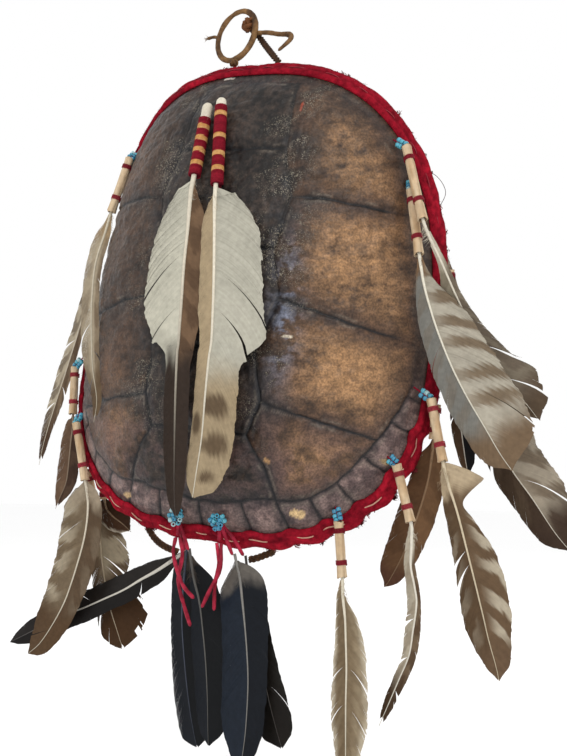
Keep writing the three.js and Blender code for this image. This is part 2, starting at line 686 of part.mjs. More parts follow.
// A sleeve round a quill with raised thread bands at the given shares of its length
function sleeveGeometry(from, to, bore, radius, bandRadius, bandWidth, spots) {
  const length = from.distanceTo(to);
  const profile = [[bore, 0], [radius, 0]];
  for (const spot of spots) {
    const middle = spot * length;
    profile.push([radius, middle - bandWidth / 2], [bandRadius, middle], [radius, middle + bandWidth / 2]);
  }
  profile.push([radius, length], [bore, length], [bore, 0]);
  return turned(profile, SLEEVE_SIDES, from, to);
}

// A row of beads on their thread, over its whole length or for a given length of each bead
function beadGeometry(from, to, count, bead = from.distanceTo(to) / count) {
  const length = from.distanceTo(to);
  const profile = [[0, 0], [BEAD_THREAD_RADIUS, 0]];
  for (let i = 0; i < count; i++) {
    profile.push([BEAD_RADIUS, (i + 0.5) * bead], [BEAD_THREAD_RADIUS, (i + 1) * bead]);
  }
  if (count * bead < length) profile.push([BEAD_THREAD_RADIUS, length]);
  profile.push([0, length]);
  return turned(profile, BEAD_SIDES, from, to);
}

// A round cord along a smooth course
function cordGeometry(course, radius) {
  const curve = new THREE.CatmullRomCurve3(course.map(vec), false, 'catmullrom', 0.5);
  const section = new THREE.Shape();
  for (let i = 0; i < CORD_SIDES; i++) {
    const turn = 2 * Math.PI * i / CORD_SIDES;
    const corner = [radius * Math.cos(turn), radius * Math.sin(turn)];
    if (i) section.lineTo(...corner);
    else section.moveTo(...corner);
  }
  const steps = Math.ceil(curve.getLength() / (CORD_STEP_DIAMETERS * 2 * radius));
  return closed(new THREE.ExtrudeGeometry(section, { extrudePath: curve, steps, curveSegments: 1 }));
}

// The leather loop with the knot at its foot and a cut end at its left
function loopGeometry() {
  const tip = new THREE.Vector3(0, -Math.sin(LOOP_TILT), -Math.cos(LOOP_TILT));
  const side = new THREE.Vector3(1, 0, 0);
  const centre = new THREE.Vector3(0, 0, THONG_RADIUS).addScaledVector(tip, LOOP_HALF_HEIGHT);
  const rings = [];
  for (let i = 0; i < LOOP_STEPS; i++) {
    const turn = 2 * Math.PI * i / LOOP_STEPS;
    const point = centre.clone().addScaledVector(side, LOOP_HALF_WIDTH * Math.sin(turn))
      .addScaledVector(tip, -LOOP_HALF_HEIGHT * Math.cos(turn));
    const tangent = side.clone().multiplyScalar(LOOP_HALF_WIDTH * Math.cos(turn))
      .addScaledVector(tip, LOOP_HALF_HEIGHT * Math.sin(turn)).normalize();
    const flat = side.clone().cross(tip);
    const radial = flat.clone().cross(tangent);
    const ring = [];
    for (let j = 0; j < CORD_SIDES; j++) {
      const around = 2 * Math.PI * j / CORD_SIDES;
      ring.push(point.clone().addScaledVector(radial, THONG_RADIUS * Math.cos(around))
        .addScaledVector(flat, THONG_RADIUS * Math.sin(around)));
    }
    rings.push(ring);
  }
  const knot = new THREE.SphereGeometry(KNOT_RADIUS, CORD_SIDES, CORD_SIDES / 2).translate(...LOOP_KNOT);
  return join([loft(rings, true), closed(knot), cordGeometry(LOOP_STUB, STUB_RADIUS)]);
}

add('shell', shellGeometry(), HORN, 0.55);
add('edge_binding', bindingGeometry(), WOOL_RED, 0.95);
add('hanging_loop', loopGeometry(), LEATHER, 0.7);
add('hanging_loop_tail', cordGeometry(LOOP_TAIL, THONG_RADIUS), LEATHER, 0.7);
add('hanging_braid', cordGeometry(HANGING_BRAID, BRAID_RADIUS), DARK_CORD, 0.8);
for (const [name, course] of Object.entries(LOWER_BRAIDS)) {
  add(name, cordGeometry(course, BRAID_RADIUS), DARK_CORD, 0.8);
}

for (const { name, colour, top, hole, course } of HUNG_FEATHERS) {
  const [from, to] = [vec(top), vec(course[0])];
  add(name, featherGeometry(course, from.clone().lerp(to, QUILL_START)), colour);
  const sleeve = sleeveGeometry(from, to, SLEEVE_BORE, SLEEVE_RADIUS, BAND_RADIUS, BAND_WIDTH, BAND_SPOTS);
  add(name.replace('feather', 'sleeve'), sleeve, HIDE);
  if (hole) {
    const start = onShell(planPoint(...hole), HOLE_LIFT);
    const end = from.clone().sub(from.clone().sub(start).setLength(STRING_GAP));
    add(name.replace('feather', 'beads'), beadGeometry(start, end, STRING_BEADS), TURQUOISE, 0.3);
  }
}

for (const { name, colour, course } of TIED_FEATHERS) {
  const [from, to] = [vec(course[0]), vec(course[1])];
  const quillEnd = from.clone().sub(to.clone().sub(from).setLength(BARE_QUILL));
  add(name, featherGeometry(course, quillEnd), colour, 0.7);
}

for (const { name, colour, quill, wrap, course } of CENTRE_FEATHERS) {
  add(name, featherGeometry(course, vec(quill), CENTRE_QUILL_RADIUS), colour);
  const spots = Array.from({ length: WRAP_BANDS }, (_, i) => (i + 0.5) / WRAP_BANDS);
  const [from, to] = wrap.map(vec);
  const thread = sleeveGeometry(from, to, WRAP_BORE, WRAP_RADIUS, WRAP_BAND_RADIUS, WRAP_BAND_WIDTH, spots);
  add(name.replace('feather', 'thread_wrap'), thread, THREAD_RED);
}

for (const { name, knot, feet } of BEAD_BUNCHES) {
  const pieces = [closed(new THREE.SphereGeometry(BUNCH_KNOT_RADIUS, BEAD_SIDES, 4).translate(...knot))];
  for (const foot of feet) {
    pieces.push(beadGeometry(vec(knot), vec(foot), BUNCH_BEADS, BUNCH_BEAD_LENGTH));
  }
  add(name, join(pieces), TURQUOISE, 0.3);
}

for (const [name, course] of Object.entries(RED_THONGS)) {
  add(name, cordGeometry(course, RED_THONG_RADIUS), THREAD_RED);
}

export default group;
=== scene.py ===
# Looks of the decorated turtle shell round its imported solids, in millimetres until a piece is made
import math

import bpy
import numpy as np
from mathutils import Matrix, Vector


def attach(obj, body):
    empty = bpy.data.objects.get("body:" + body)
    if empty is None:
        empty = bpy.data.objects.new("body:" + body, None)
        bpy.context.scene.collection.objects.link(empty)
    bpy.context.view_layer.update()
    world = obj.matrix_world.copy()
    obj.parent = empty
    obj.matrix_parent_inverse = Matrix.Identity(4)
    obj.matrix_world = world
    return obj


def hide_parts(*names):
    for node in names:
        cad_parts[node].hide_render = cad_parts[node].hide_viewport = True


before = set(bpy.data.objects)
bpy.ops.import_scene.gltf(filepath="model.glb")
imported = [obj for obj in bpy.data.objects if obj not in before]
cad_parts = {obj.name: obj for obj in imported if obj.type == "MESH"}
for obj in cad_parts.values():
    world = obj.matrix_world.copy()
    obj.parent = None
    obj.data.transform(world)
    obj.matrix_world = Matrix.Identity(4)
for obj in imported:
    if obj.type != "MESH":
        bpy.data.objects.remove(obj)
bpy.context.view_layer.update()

MM = 0.001
rng = np.random.default_rng(11)

# Camera at the photograph's angle, soft light and a pale floor
CAMERA_TARGET = Vector((0.0271, 0.020, -0.2825))
CAMERA_AZIMUTH = math.radians(24)
CAMERA_ELEVATION = math.radians(-6)
CAMERA_DISTANCE = 0.7
LENS_MM = 44.44
SENSOR_MM = 36
FLOOR_HEIGHT = -0.6
FLOOR_SIZE = 12
WORLD_LIGHT = 1.0
LIGHTS = [
    ("key_light", (0.9, -1.5, 0.7), 1.4, 15),
    ("fill_light", (-1.3, -1.2, 0.1), 1.6, 3.5),
    ("back_light", (0.3, 1.4, 0.8), 1.2, 6),
]
SHELL_MIDDLE = (0.0, 0.0, -0.25)


def aimed(obj, place, target):
    obj.location = place
    obj.rotation_euler = (Vector(target) - Vector(place)).to_track_quat("-Z", "Y").to_euler()
    bpy.context.collection.objects.link(obj)


def stage():
    scene = bpy.context.scene
    scene.view_settings.view_transform = "Standard"
    camera = bpy.data.cameras.new("camera")
    camera.sensor_fit = "VERTICAL"
    camera.sensor_height = SENSOR_MM
    camera.lens = LENS_MM
    camera.clip_start = 0.01
    level = math.cos(CAMERA_ELEVATION)
    back = Vector((
        math.sin(CAMERA_AZIMUTH) * level,
        -math.cos(CAMERA_AZIMUTH) * level,
        math.sin(CAMERA_ELEVATION),
    ))
    eye = bpy.data.objects.new("camera", camera)
    aimed(eye, CAMERA_TARGET + CAMERA_DISTANCE * back, CAMERA_TARGET)
    scene.camera = eye
    for name, place, size, power in LIGHTS:
        light = bpy.data.lights.new(name, "AREA")
        light.size = size
        light.energy = power
        aimed(bpy.data.objects.new(name, light), place, SHELL_MIDDLE)
    world = bpy.data.worlds.new("pale_room")
    world.use_nodes = True
    sky = world.node_tree.nodes["Background"].inputs
    sky["Color"].default_value = (1, 1, 1, 1)
    sky["Strength"].default_value = WORLD_LIGHT
    scene.world = world
    bpy.ops.mesh.primitive_plane_add(size=FLOOR_SIZE, location=(0, 0, FLOOR_HEIGHT))
    floor = bpy.context.object
    floor.name = "floor"
    paper = bpy.data.materials.new("pale_floor")
    paper.use_nodes = True
    finish = paper.node_tree.nodes["Principled BSDF"].inputs
    finish["Base Color"].default_value = (0.97, 0.97, 0.97, 1)
    finish["Roughness"].default_value = 0.9
    floor.data.materials.append(paper)


# Colours are named as they look on a screen and turned into the light that the surface gives back
REFLECTED = 0.72


def hue(code):
    channels = np.array([int(code[i:i + 2], 16) / 255 for i in (0, 2, 4)])
    linear = np.where(channels < 0.04045, channels / 12.92, ((channels + 0.055) / 1.055) ** 2.4)
    return REFLECTED * linear


# Between two colours, given by code or as light
def mixed(a, b, share):
    a, b = (hue(colour) if isinstance(colour, str) else colour for colour in (a, b))
    return a + (b - a) * np.asarray(share)[..., None]


# From 0 at low to 1 at high, with eased ends
def ramp(low, high, value):
    x = np.clip((value - low) / (high - low), 0, 1)
    return x * x * (3 - 2 * x)


# A bell curve: 1 in the middle, about a third at half its breadth away
def bell(value, middle, half):
    return np.exp(-((value - middle) / half) ** 2)


# Even angles once round
def circle(steps):
    return np.linspace(0, 2 * math.pi, steps, endpoint=False)


# A value with its size raised to a power and its sign kept
def bent(value, power):
    return np.sign(value) * np.abs(value) ** power


# Ways out from an axis at angles round it
def spokes(turn, side, other):
    return np.cos(turn)[..., None] * side + np.sin(turn)[..., None] * other


# A slow wandering value between about -1 and 1, the same for the same seed
def wander(seed, *values):
    turns = np.random.default_rng(seed)
    total = 0
    for octave in range(3):
        wave = turns.uniform(0, 2 * math.pi)
        for value in values:
            wave = wave + value * turns.uniform(0.6, 1.4) * 1.9 ** octave * turns.choice((-1, 1))
        total = total + np.sin(wave + 0.8 * np.sin(0.7 * wave + octave)) / 1.6 ** octave
    return total / 2.0


# Cloudy values between about -1 and 1: smooth random values on turned lattices, in finer and finer steps
def cloud(seed, x, y, octaves=4):
    total = 0
    for octave in range(octaves):
        table = np.random.default_rng((seed, octave)).uniform(-1, 1, (64, 64))
        turn = 0.5 + 1.1 * octave + seed
        px = 2 ** octave * (math.cos(turn) * x - math.sin(turn) * y) + 7.3 * octave
        py = 2 ** octave * (math.sin(turn) * x + math.cos(turn) * y) + 3.1 * octave
        left, low = np.floor(px).astype(int), np.floor(py).astype(int)
        along, up = ramp(0, 1, px - left), ramp(0, 1, py - low)
        corner = [[table[(left + i) % 64, (low + j) % 64] for i in (0, 1)] for j in (0, 1)]
        lower, upper = (a + (b - a) * along for a, b in corner)
        total = total + 0.55 ** octave * (lower + (upper - lower) * up)
    return total


# A surface whose colour is its paint, mottled, streaked and specked by noise
def surface(name, roughness, mottle, grain, specular, coat=0.0, gloss_spread=0.12, streaks=(), specks=()):
    made = bpy.data.materials.new(name)
    made.use_nodes = True
    nodes = made.node_tree.nodes

    # Gives a node's sockets their constants or links
    def fill(node, sockets):
        for socket, value in sockets.items():
            if isinstance(value, bpy.types.NodeSocket):
                made.node_tree.links.new(value, node.inputs[socket])
            else:
                node.inputs[socket].default_value = value

    def result_of(kind, output, sockets, **settings):
        node = nodes.new("ShaderNode" + kind)
        for setting, value in settings.items():
            setattr(node, setting, value)
        fill(node, sockets)
        return node.outputs[output]

    place = result_of("TexCoord", "Object", {})

    def noise(scale, detail, stretch=(1, 1, 1)):
        stretched = result_of("Mapping", "Vector", {"Vector": place, "Scale": stretch})
        return result_of("TexNoise", "Fac", {"Vector": stretched, "Scale": scale, "Detail": detail})

    def spread(value, low, high, start=0.3, end=0.7):
        return result_of("MapRange", "Result", {
            "Value": value, "From Min": start, "From Max": end, "To Min": low, "To Max": high})

    def shaded(colour, value):
        return result_of("Mix", "Result", {"Factor": 1, "A": colour, "B": value},
                         data_type="RGBA", blend_type="MULTIPLY")

    mottle_scale, mottle_share = mottle
    grain_scale, grain_depth = grain
    paint = result_of("VertexColor", "Color", {}, layer_name="paint")
    colour = shaded(paint, spread(noise(mottle_scale, 7), 1 - mottle_share, 1 + mottle_share))
    for stretch, share in streaks:
        colour = shaded(colour, spread(noise(1, 9, stretch), 1 - share, 1 + share, 0.38, 0.62))
    for scale, dust in specks:
        mask = result_of("Attribute", "Fac", {}, attribute_name="speck")
        weight = result_of("Math", "Value", {0: spread(noise(scale, 2), 0, 1, 0.6, 0.68), 1: mask},
                           operation="MULTIPLY")
        colour = result_of("Mix", "Result", {"Factor": weight, "A": colour, "B": (*hue(dust), 1)},
                           data_type="RGBA")
    gloss = spread(noise(mottle_scale * 1.7, 3), roughness - gloss_spread, roughness + gloss_spread)
    relief = result_of("Bump", "Normal", {
        "Strength": 0.6, "Distance": grain_depth * MM, "Height": noise(grain_scale, 5)})
    fill(nodes["Principled BSDF"], {
        "Base Color": colour, "Roughness": gloss, "Normal": relief, "Specular IOR Level": specular,
        "Coat Weight": coat, "Coat Roughness": 0.25})
    return made


HORN = surface("horn", 0.42, (280, 0.15), (420, 0.6), 0.26,
               streaks=[((110, 110, 110), 0.12), ((90, 90, 320), 0.1), ((700, 700, 700), 0.3)],
               specks=[(850, "9a907c"), (1500, "b3ab98")])
BONE = surface("bone", 0.7, (120, 0.25), (500, 0.3), 0.2)
WOOL = surface("wool", 0.9, (300, 0.34), (900, 1.0), 0.04)
THREAD = surface("thread", 0.75, (700, 0.2), (2500, 0.2), 0.08)
LEATHER = surface("leather", 0.6, (260, 0.35), (900, 0.4), 0.15)
HIDE = surface("hide", 0.8, (240, 0.14), (1100, 0.25), 0.15, streaks=[((500, 500, 60), 0.06)])
BEAD = surface("bead", 0.22, (600, 0.14), (1500, 0.05), 0.35, coat=0.3, gloss_spread=0.06)
VANE = surface("vane", 0.6, (300, 0.1), (2200, 0.1), 0.08)
DARK_VANE = surface("dark_vane", 0.4, (300, 0.15), (2200, 0.1), 0.12)
SHAFT = surface("shaft", 0.38, (500, 0.1), (1800, 0.05), 0.3)


# Points, faces, paint, material numbers and dust of one piece
class Shape:
    def __init__(self):
        self.points = []
        self.faces = []
        self.paint = []
        self.slots = []
        self.dust = []
        self.count = 0

    def add(self, points, faces, paint, slot=0, dust=0.0):
        points = np.asarray(points, float).reshape(-1, 3)
        paint = hue(paint) if isinstance(paint, str) else np.asarray(paint, float)
        self.points.append(points)
        self.faces.append(np.asarray(faces) + self.count)
        self.paint.append(np.broadcast_to(paint.reshape(-1, 3), points.shape))
        self.slots.append(np.full(len(faces), slot))
        self.dust.append(np.broadcast_to(np.ravel(dust), len(points)))
        self.count += len(points)


# Makes a piece that stands for a solid
def make(shape, materials, node):
    mesh = bpy.data.meshes.new(node + "_dressed")
    mesh.from_pydata((np.vstack(shape.points) * MM).tolist(), [], np.vstack(shape.faces).tolist())
    colours = np.ones((shape.count, 4))
    colours[:, :3] = np.vstack(shape.paint)
    layer = mesh.color_attributes.new("paint", "FLOAT_COLOR", "POINT")
    layer.data.foreach_set("color", colours.ravel())
    dust = np.concatenate(shape.dust)
    if dust.any():
        mesh.attributes.new("speck", "FLOAT", "POINT").data.foreach_set("value", dust)
    for material in materials:
        mesh.materials.append(material)
    mesh.polygons.foreach_set("material_index", np.concatenate(shape.slots))
    mesh.shade_smooth()
    piece = bpy.data.objects.new(node + "_dressed", mesh)
    bpy.context.collection.objects.link(piece)
    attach(piece, "root")
    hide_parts(node)
    return piece


CLOSED_END = 1e-3
COIL_SIDES = 5


def unit(vectors):
    vectors = np.asarray(vectors, float)
    return vectors / np.maximum(np.linalg.norm(vectors, axis=-1, keepdims=True), 1e-9)


# Four-cornered faces of a net of points
def net(rows, columns, round_rows=False, round_columns=False):
    r, c = np.meshgrid(
        np.arange(rows if round_rows else rows - 1),
        np.arange(columns if round_columns else columns - 1), indexing="ij")
    r2, c2 = (r + 1) % rows, (c + 1) % columns
    corners = [r * columns + c, r * columns + c2, r2 * columns + c2, r2 * columns + c]
    return np.stack(corners, -1).reshape(-1, 4)


# A smooth course through points, in the same curve as the solids follow
def smooth(points, per_step=16):
    p = np.asarray(points, float)
    p = np.vstack([2 * p[0] - p[1], p, 2 * p[-1] - p[-2]])
    t = np.linspace(0, 1, per_step, endpoint=False)[:, None]
    pieces = []
    for a, b, c, d in zip(p, p[1:], p[2:], p[3:]):
        pieces.append(0.5 * (2 * b + (c - a) * t + (2 * a - 5 * b + 4 * c - d) * t ** 2
                             + (3 * b - a - 3 * c + d) * t ** 3))
    return np.vstack([*pieces, p[-2:-1]])


# A course at even steps: how far along each point is, and its columns
def even(course, step):
    length = np.append(0, np.cumsum(np.linalg.norm(np.diff(course[:, :3], axis=0), axis=1)))
    at = np.linspace(0, length[-1], max(3, round(length[-1] / step) + 1))
    return at, np.column_stack([np.interp(at, length, column) for column in course.T])


# Two directions across a course that don't turn about it
def across_course(course):
    tangent = unit(np.gradient(course, axis=0))
    start = np.cross(tangent[0], (0, 1, 0))
    if np.linalg.norm(start) < 0.1:
        start = np.cross(tangent[0], (1, 0, 0))
    sides = [unit(start)]
    for t in tangent[1:]:
        sides.append(unit(sides[-1] - t * np.dot(sides[-1], t)))
    side = np.array(sides)
    return side, np.cross(tangent, side)


# Rows with the first and the last one doubled, for the closed ends of a tube
def capped(rows):
    return np.concatenate([rows[:1], rows, rows[-1:]])


# A tube along a course, closed at both ends. Its radius may change, and flat squeezes its section.
def tube(course, radius, sides=8, flat=1.0):
    radius = np.concatenate([[CLOSED_END], np.broadcast_to(radius, len(course)), [CLOSED_END]])
    course, side, upright = map(capped, (course, *across_course(course)))
    ring = spokes(circle(sides), side[:, None], flat * upright[:, None])
    return course[:, None] + ring * radius[:, None, None], net(len(course), sides, round_columns=True)


# A coil of thread round an axis, from one end of it to the other
def winding(start, end, radius, thread, turns, per_turn=18):
    axis = unit(end - start)
    side = unit(np.cross(axis, (0, 1, 0)))
    other = np.cross(axis, side)
    turn = np.linspace(0, 2 * math.pi * turns, max(12, int(turns * per_turn)))
    along = start + np.outer(turn / turn[-1], end - start)
    return tube(along + radius * spokes(turn, side, other), thread, COIL_SIDES)


# Free thongs and cords, with the courses of their solids
RED_THONG_RADIUS = 1.5
RED_THONGS = {
    "red_thong_left_long": [
        (-29.2, -34, -399.3), (-26, -36, -411), (-29, -36, -429), (-25, -35, -445), (-20, -34, -460)],
    "red_thong_left_short": [
        (-32.7, -34.3, -399.3), (-31, -39.5, -411), (-23, -41, -430), (-14, -40, -440)],
    "red_thong_right_cross": [(5.4, -37, -401.6), (6, -39.5, -419), (-1, -39.5, -432), (-9, -38, -446)],
    "red_thong_right_long": [(1.8, -36.6, -401.6), (3, -36, -416), (0, -35.5, -430), (-1, -35, -448)],
}
CRIMSON = ("86142a", "b32741")
LOOP_TAIL = [(17.9, -7, -22), (26, -6, -23), (35, -6, -26), (44, -8, -29), (46, -10, -34), (37, -12, -42)]
THONG_RADIUS = 2
THONG_BROWN = ("452d18", "83613c")
# Braids: what their far ends meet, and their courses
BRAIDS = {
    "hanging_braid": ("knot", [
        (40, -17.1, -53.9), (34, -14, -46), (27, -8.5, -37), (21, -4, -29), (16, -1.8, -22), (9, -3, -14)]),
    "lower_braid_left": ("object", [
        (-70, -11.9, -393.9), (-62, -14, -402), (-52, -17, -407), (-40.5, -17.9, -410.6)]),
    "lower_braid_right": ("object", [
        (36, -16.3, -408.2), (30, -18.5, -410.5), (25, -21, -412.5), (20.2, -23, -413.6)]),
}
BRAID_RADIUS = 2.4
BRAID_PITCH = 9.5
STRAND_SIDES = 8
BRAID_BROWN = ("33200f", "7f5636")
BRAID_KNOT = np.array([8.5, -3.5, -13])
SHORTEST_CORD = 30
STRIP_SIDES = 10
CORD_POINTS = 24


def cord(piece, course):
    at, path = even(smooth(course), 0.5)
    if at[-1] < SHORTEST_CORD:
        return
    path = path[np.linspace(0, len(path) - 1, CORD_POINTS).astype(int)] * MM


# A strip of leather along a course, uneven in width and colour
def strip(shape, course, radius, colours, seed, flat=0.8, widen=0.0, slot=0):
    at, line = even(smooth(course), 0.6)
    share = at / at[-1]
    size = radius * (0.94 + 0.14 * wander(seed, at * 0.35)) * ramp(-0.8, 1.5, at[-1] - at)
    size = size * (1 + widen * bell(share, 0.72, 0.16))
    tone = 0.6 * np.concatenate([[0], cloud(seed, at * 0.16, 0), [0]])
    grain = 0.25 * np.cos(2 * circle(STRIP_SIDES) + seed)
    paint = mixed(*colours, np.clip(0.5 + tone[:, None] + grain, 0, 1))
    shape.add(*tube(line, size, STRIP_SIDES, flat), paint, slot)


def thongs():
    for seed, (node, course) in enumerate(RED_THONGS.items()):
        shape = Shape()
        strip(shape, course, RED_THONG_RADIUS, CRIMSON, seed + 1, 0.75)
        cord(make(shape, [LEATHER], node), course)
    shape = Shape()
    strip(shape, LOOP_TAIL, THONG_RADIUS, THONG_BROWN, 5, 0.6, 0.35)
    cord(make(shape, [LEATHER], "hanging_loop_tail"), LOOP_TAIL)


# A knot of leather: coils that lean over one another about a middle
def knot(shape, middle, size, coils, colours, seed):
    dice = np.random.default_rng(seed)
    for _ in range(coils):
        lean = unit(dice.normal(0, 1, 3) + (0, 0.3, 0.6))
        place = middle + dice.normal(0, 0.22 * size, 3)
        ends = place - 0.3 * size * lean, place + 0.3 * size * lean
        shape.add(*winding(*ends, 0.62 * size, 0.38 * size, 1.2), mixed(*colours, dice.uniform(0, 1)))


def braids():
    for node, (far_end, course) in BRAIDS.items():
        at, line = even(smooth(course), 0.4)
        side, upright = across_course(line)
        shape = Shape()
        for strand in range(3):
            turn = 2 * math.pi * (at / BRAID_PITCH + strand / 3)
            swing = 0.58 * BRAID_RADIUS
            path = line + swing * (np.sin(turn)[:, None] * side + 0.6 * np.sin(2 * turn)[:, None] * upright)
            # Each strand is painted lighter and darker in step with its rise and fall through the braid:
            # painted light and shade
            high = np.repeat(np.concatenate([[0], -np.sin(2 * turn), [0]]), STRAND_SIDES)
            paint = mixed(*BRAID_BROWN, np.clip(0.5 + 0.5 * high, 0, 1))
            shape.add(*tube(path, 0.5 * BRAID_RADIUS, STRAND_SIDES, 0.85), paint)
        cord(make(shape, [LEATHER], node), course)


# Shell: the same dome, outline and scutes as the solid
SHELL_CENTRE = np.array([5.5, 20, -228])
SHELL_LEAN = math.radians(7)
HALF_LENGTH = 171
HALF_WIDTH = 143
HEAD_TAPER = 0.07
OUTLINE_POWER = 2.7
END_LIFT = 38
DOME_HEIGHT = 80
DOME_POWER = 2.3
SIDE_ROUNDING = 1.35
END_ROUNDING = 1.5
SHELL_THICKNESS = 5
BEYOND_RIM = 1.02
SHORTEST_OUTER_EDGE = 6
VERTEBRAL_GROWTH = [112, 48, -22, -80, -126]
COSTAL_CENTRE_PULL = 0.45
MARGINAL_SEAMS = [0, 12, 26, 40, 54, 66, 79, 87, 91, 97, 105, 113, 126, 139, 150, 160.5, 171, 180]
MARGINAL_LINE = [(0, 0.925), (100, 0.935), (122, 0.88), (150, 0.875), (165, 0.835), (180, 0.85)]
COSTAL_ENDS = (11, 17, 23)
LAST_COSTAL = 30
BAND_SHARE = 0.955
SCALLOP_FROM = 108
SCALLOP_OUT = 0.009
SCALLOP_IN = -0.005
SPINE_CORNERS = {
    "first": (41, 102), "firstCostal": (52, 68), "second": (44, 31), "secondCostal": (52, -4),
    "third": (40, -39), "thirdCostal": (45, -74), "fourth": (37, -96), "tail": (51, -118),
}
LEFT_SIDE = np.array([
    (-171, 0, 1.35), (-100, 6, 1.2), (-65, 4, 1.25), (-10, -9, 2),
    (60, -11, 2), (100, -7, 1.8), (135, -2, 1.5), (171, 0, 1.35),
])
STATIONS = [0.0]
for before, after in zip(MARGINAL_SEAMS, MARGINAL_SEAMS[1:]):
    STATIONS += [(before + after) / 2, after]
TAIL = len(STATIONS) - 1
STATIONS = np.array(STATIONS)
RIM_LEVELS = np.where(np.arange(TAIL + 1) % 2, SCALLOP_OUT, SCALLOP_IN) * (STATIONS > SCALLOP_FROM)


# At places along the shell: the place, the shift of the left edge and the rounding of the left side
def left_side(w):
    row = np.clip(np.searchsorted(LEFT_SIDE[:, 0], w), 1, len(LEFT_SIDE) - 1)
    low, high = LEFT_SIDE[row - 1], LEFT_SIDE[row]
    return low + (high - low) * ramp(low[..., 0], high[..., 0], w)[..., None]


def half_width(u, w):
    straight = HALF_WIDTH * (1 - HEAD_TAPER * w / HALF_LENGTH)
    return straight + np.where(u < 0, left_side(w)[..., 1], 0)


def plan_point(angle, share):
    turn = np.radians(angle)
    w = share * HALF_LENGTH * bent(np.cos(turn), 2 / OUTLINE_POWER)
    side = bent(np.sin(turn), 2 / OUTLINE_POWER)
    return share * half_width(side, w) * side, w


# How far out a plan point is, as its shares across and along: they add up to 1 on the outline
def spans(u, w):
    return np.abs(u / half_width(u, w)) ** OUTLINE_POWER, np.abs(w / HALF_LENGTH) ** OUTLINE_POWER


def on_dome(u, w):
    across, lengthwise = spans(u, w)
    total = np.maximum(across + lengthwise, 1e-9)
    share = np.minimum(total ** (1 / OUTLINE_POWER), 1)
    endwise = lengthwise / total
    rim = END_LIFT * endwise
    sideways = np.where(u < 0, left_side(w)[..., 2], SIDE_ROUNDING)
    rounding = sideways + (END_ROUNDING - sideways) * endwise
    depth = rim + (DOME_HEIGHT - rim) * (1 - share ** DOME_POWER) ** (1 / rounding)
    x = u * math.cos(SHELL_LEAN) + w * math.sin(SHELL_LEAN)
    z = -u * math.sin(SHELL_LEAN) + w * math.cos(SHELL_LEAN)
    return np.stack([x, -depth, z], -1) + SHELL_CENTRE


def on_shell(u, w, raised=0.0):
    step = 0.5
    slope_u = on_dome(u + step, w) - on_dome(u - step, w)
    slope_w = on_dome(u, w + step) - on_dome(u, w - step)
    return on_dome(u, w) + unit(np.cross(slope_u, slope_w)) * np.asarray(raised)[..., None]


def station_angle(index):
    return math.copysign(STATIONS[abs(index)], index)


# Plan points along the inner seam of the marginal scutes, from one station to another
def seam_line(start, end):
    step = 1 if end > start else -1
    line = []
    for index in range(start, end + step, step):
        angle = station_angle(index)
        line.append(plan_point(angle, np.interp(abs(angle), *zip(*MARGINAL_LINE))))
    return line


# Outline, growth centre and kind of every scute
def scutes():
    right = SPINE_CORNERS
    left = {name: (-u, w) for name, (u, w) in SPINE_CORNERS.items()}
    found = []

    def span(*names):
        return [right[name] for name in names] + [left[name] for name in reversed(names)]

    outlines = [
        [*seam_line(-2, 2), right["first"], left["first"]],
        span("first", "firstCostal", "second"), span("second", "secondCostal", "third"),
        span("third", "thirdCostal", "fourth"),
        [right["fourth"], right["tail"], *seam_line(LAST_COSTAL, TAIL), *seam_line(1 - TAIL, -LAST_COSTAL),
         left["tail"], left["fourth"]],
    ]
    for outline, growth in zip(outlines, VERTEBRAL_GROWTH):
        found.append((outline, (0, growth), "vertebral"))
    one, two, three = COSTAL_ENDS
    for side, corner in ((1, right), (-1, left)):
        for names, start, end in (
            (("first", "firstCostal"), one, 2), (("firstCostal", "second", "secondCostal"), two, one),
            (("secondCostal", "third", "thirdCostal"), three, two),
            (("thirdCostal", "fourth", "tail"), LAST_COSTAL, three),
        ):
            outline = [corner[name] for name in names] + seam_line(side * start, side * end)
            mean = np.mean(outline, axis=0)
            centre = mean + (np.array(corner[names[-1]]) - mean) * COSTAL_CENTRE_PULL
            found.append((outline, tuple(centre), "costal"))
    bounds = [(-2, 2)] + [(i, i + 2) for i in range(2, TAIL, 2)] + [(-i - 2, -i) for i in range(2, TAIL, 2)]
    for start, end in bounds:
        beyond = [plan_point(station_angle(i), BEYOND_RIM) for i in range(end, start - 1, -1)]
        outline = seam_line(start, end) + beyond
        found.append((outline, tuple(np.mean(outline, axis=0)), "marginal"))
    return found


# For plan points: the distance to the nearest seam, how far out from the growth centre, and the scute
def scute_fields(u, w):
    seam = np.full(u.shape, 99.0)
    ring = np.ones(u.shape)
    owner = np.zeros(u.shape, int)
    wu = u + 1.3 * wander(3, u * 0.11, w * 0.07)
    ww = w + 1.3 * wander(4, u * 0.08, w * 0.12)
    found = scutes()
    for number, (outline, (cu, cw), kind) in enumerate(found):
        inside = np.zeros(u.shape, bool)
        reach = np.zeros(u.shape)
        for (u1, w1), (u2, w2) in zip(outline, outline[1:] + outline[:1]):
            du, dw = u2 - u1, w2 - w1
            crosses = (w1 > ww) != (w2 > ww)
            inside ^= crosses & (wu < du * (ww - w1) / (dw + 1e-9) + u1)
            across = (u1 - cu) * dw - (w1 - cw) * du
            reach = np.maximum(reach, ((wu - cu) * dw - (ww - cw) * du) / (across + 1e-9))
            outside = kind == "marginal" and min(sum(spans(u1, w1)), sum(spans(u2, w2))) > 1
            if outside and math.hypot(du, dw) > SHORTEST_OUTER_EDGE:
                continue
            along = np.clip(((wu - u1) * du + (ww - w1) * dw) / (du * du + dw * dw + 1e-9), 0, 1)
            seam = np.minimum(seam, np.hypot(wu - u1 - along * du, ww - w1 - along * dw))
        ring = np.where(inside, np.clip(reach, 0, 1), ring)
        owner = np.where(inside, number, owner)
    return seam, ring, owner, found


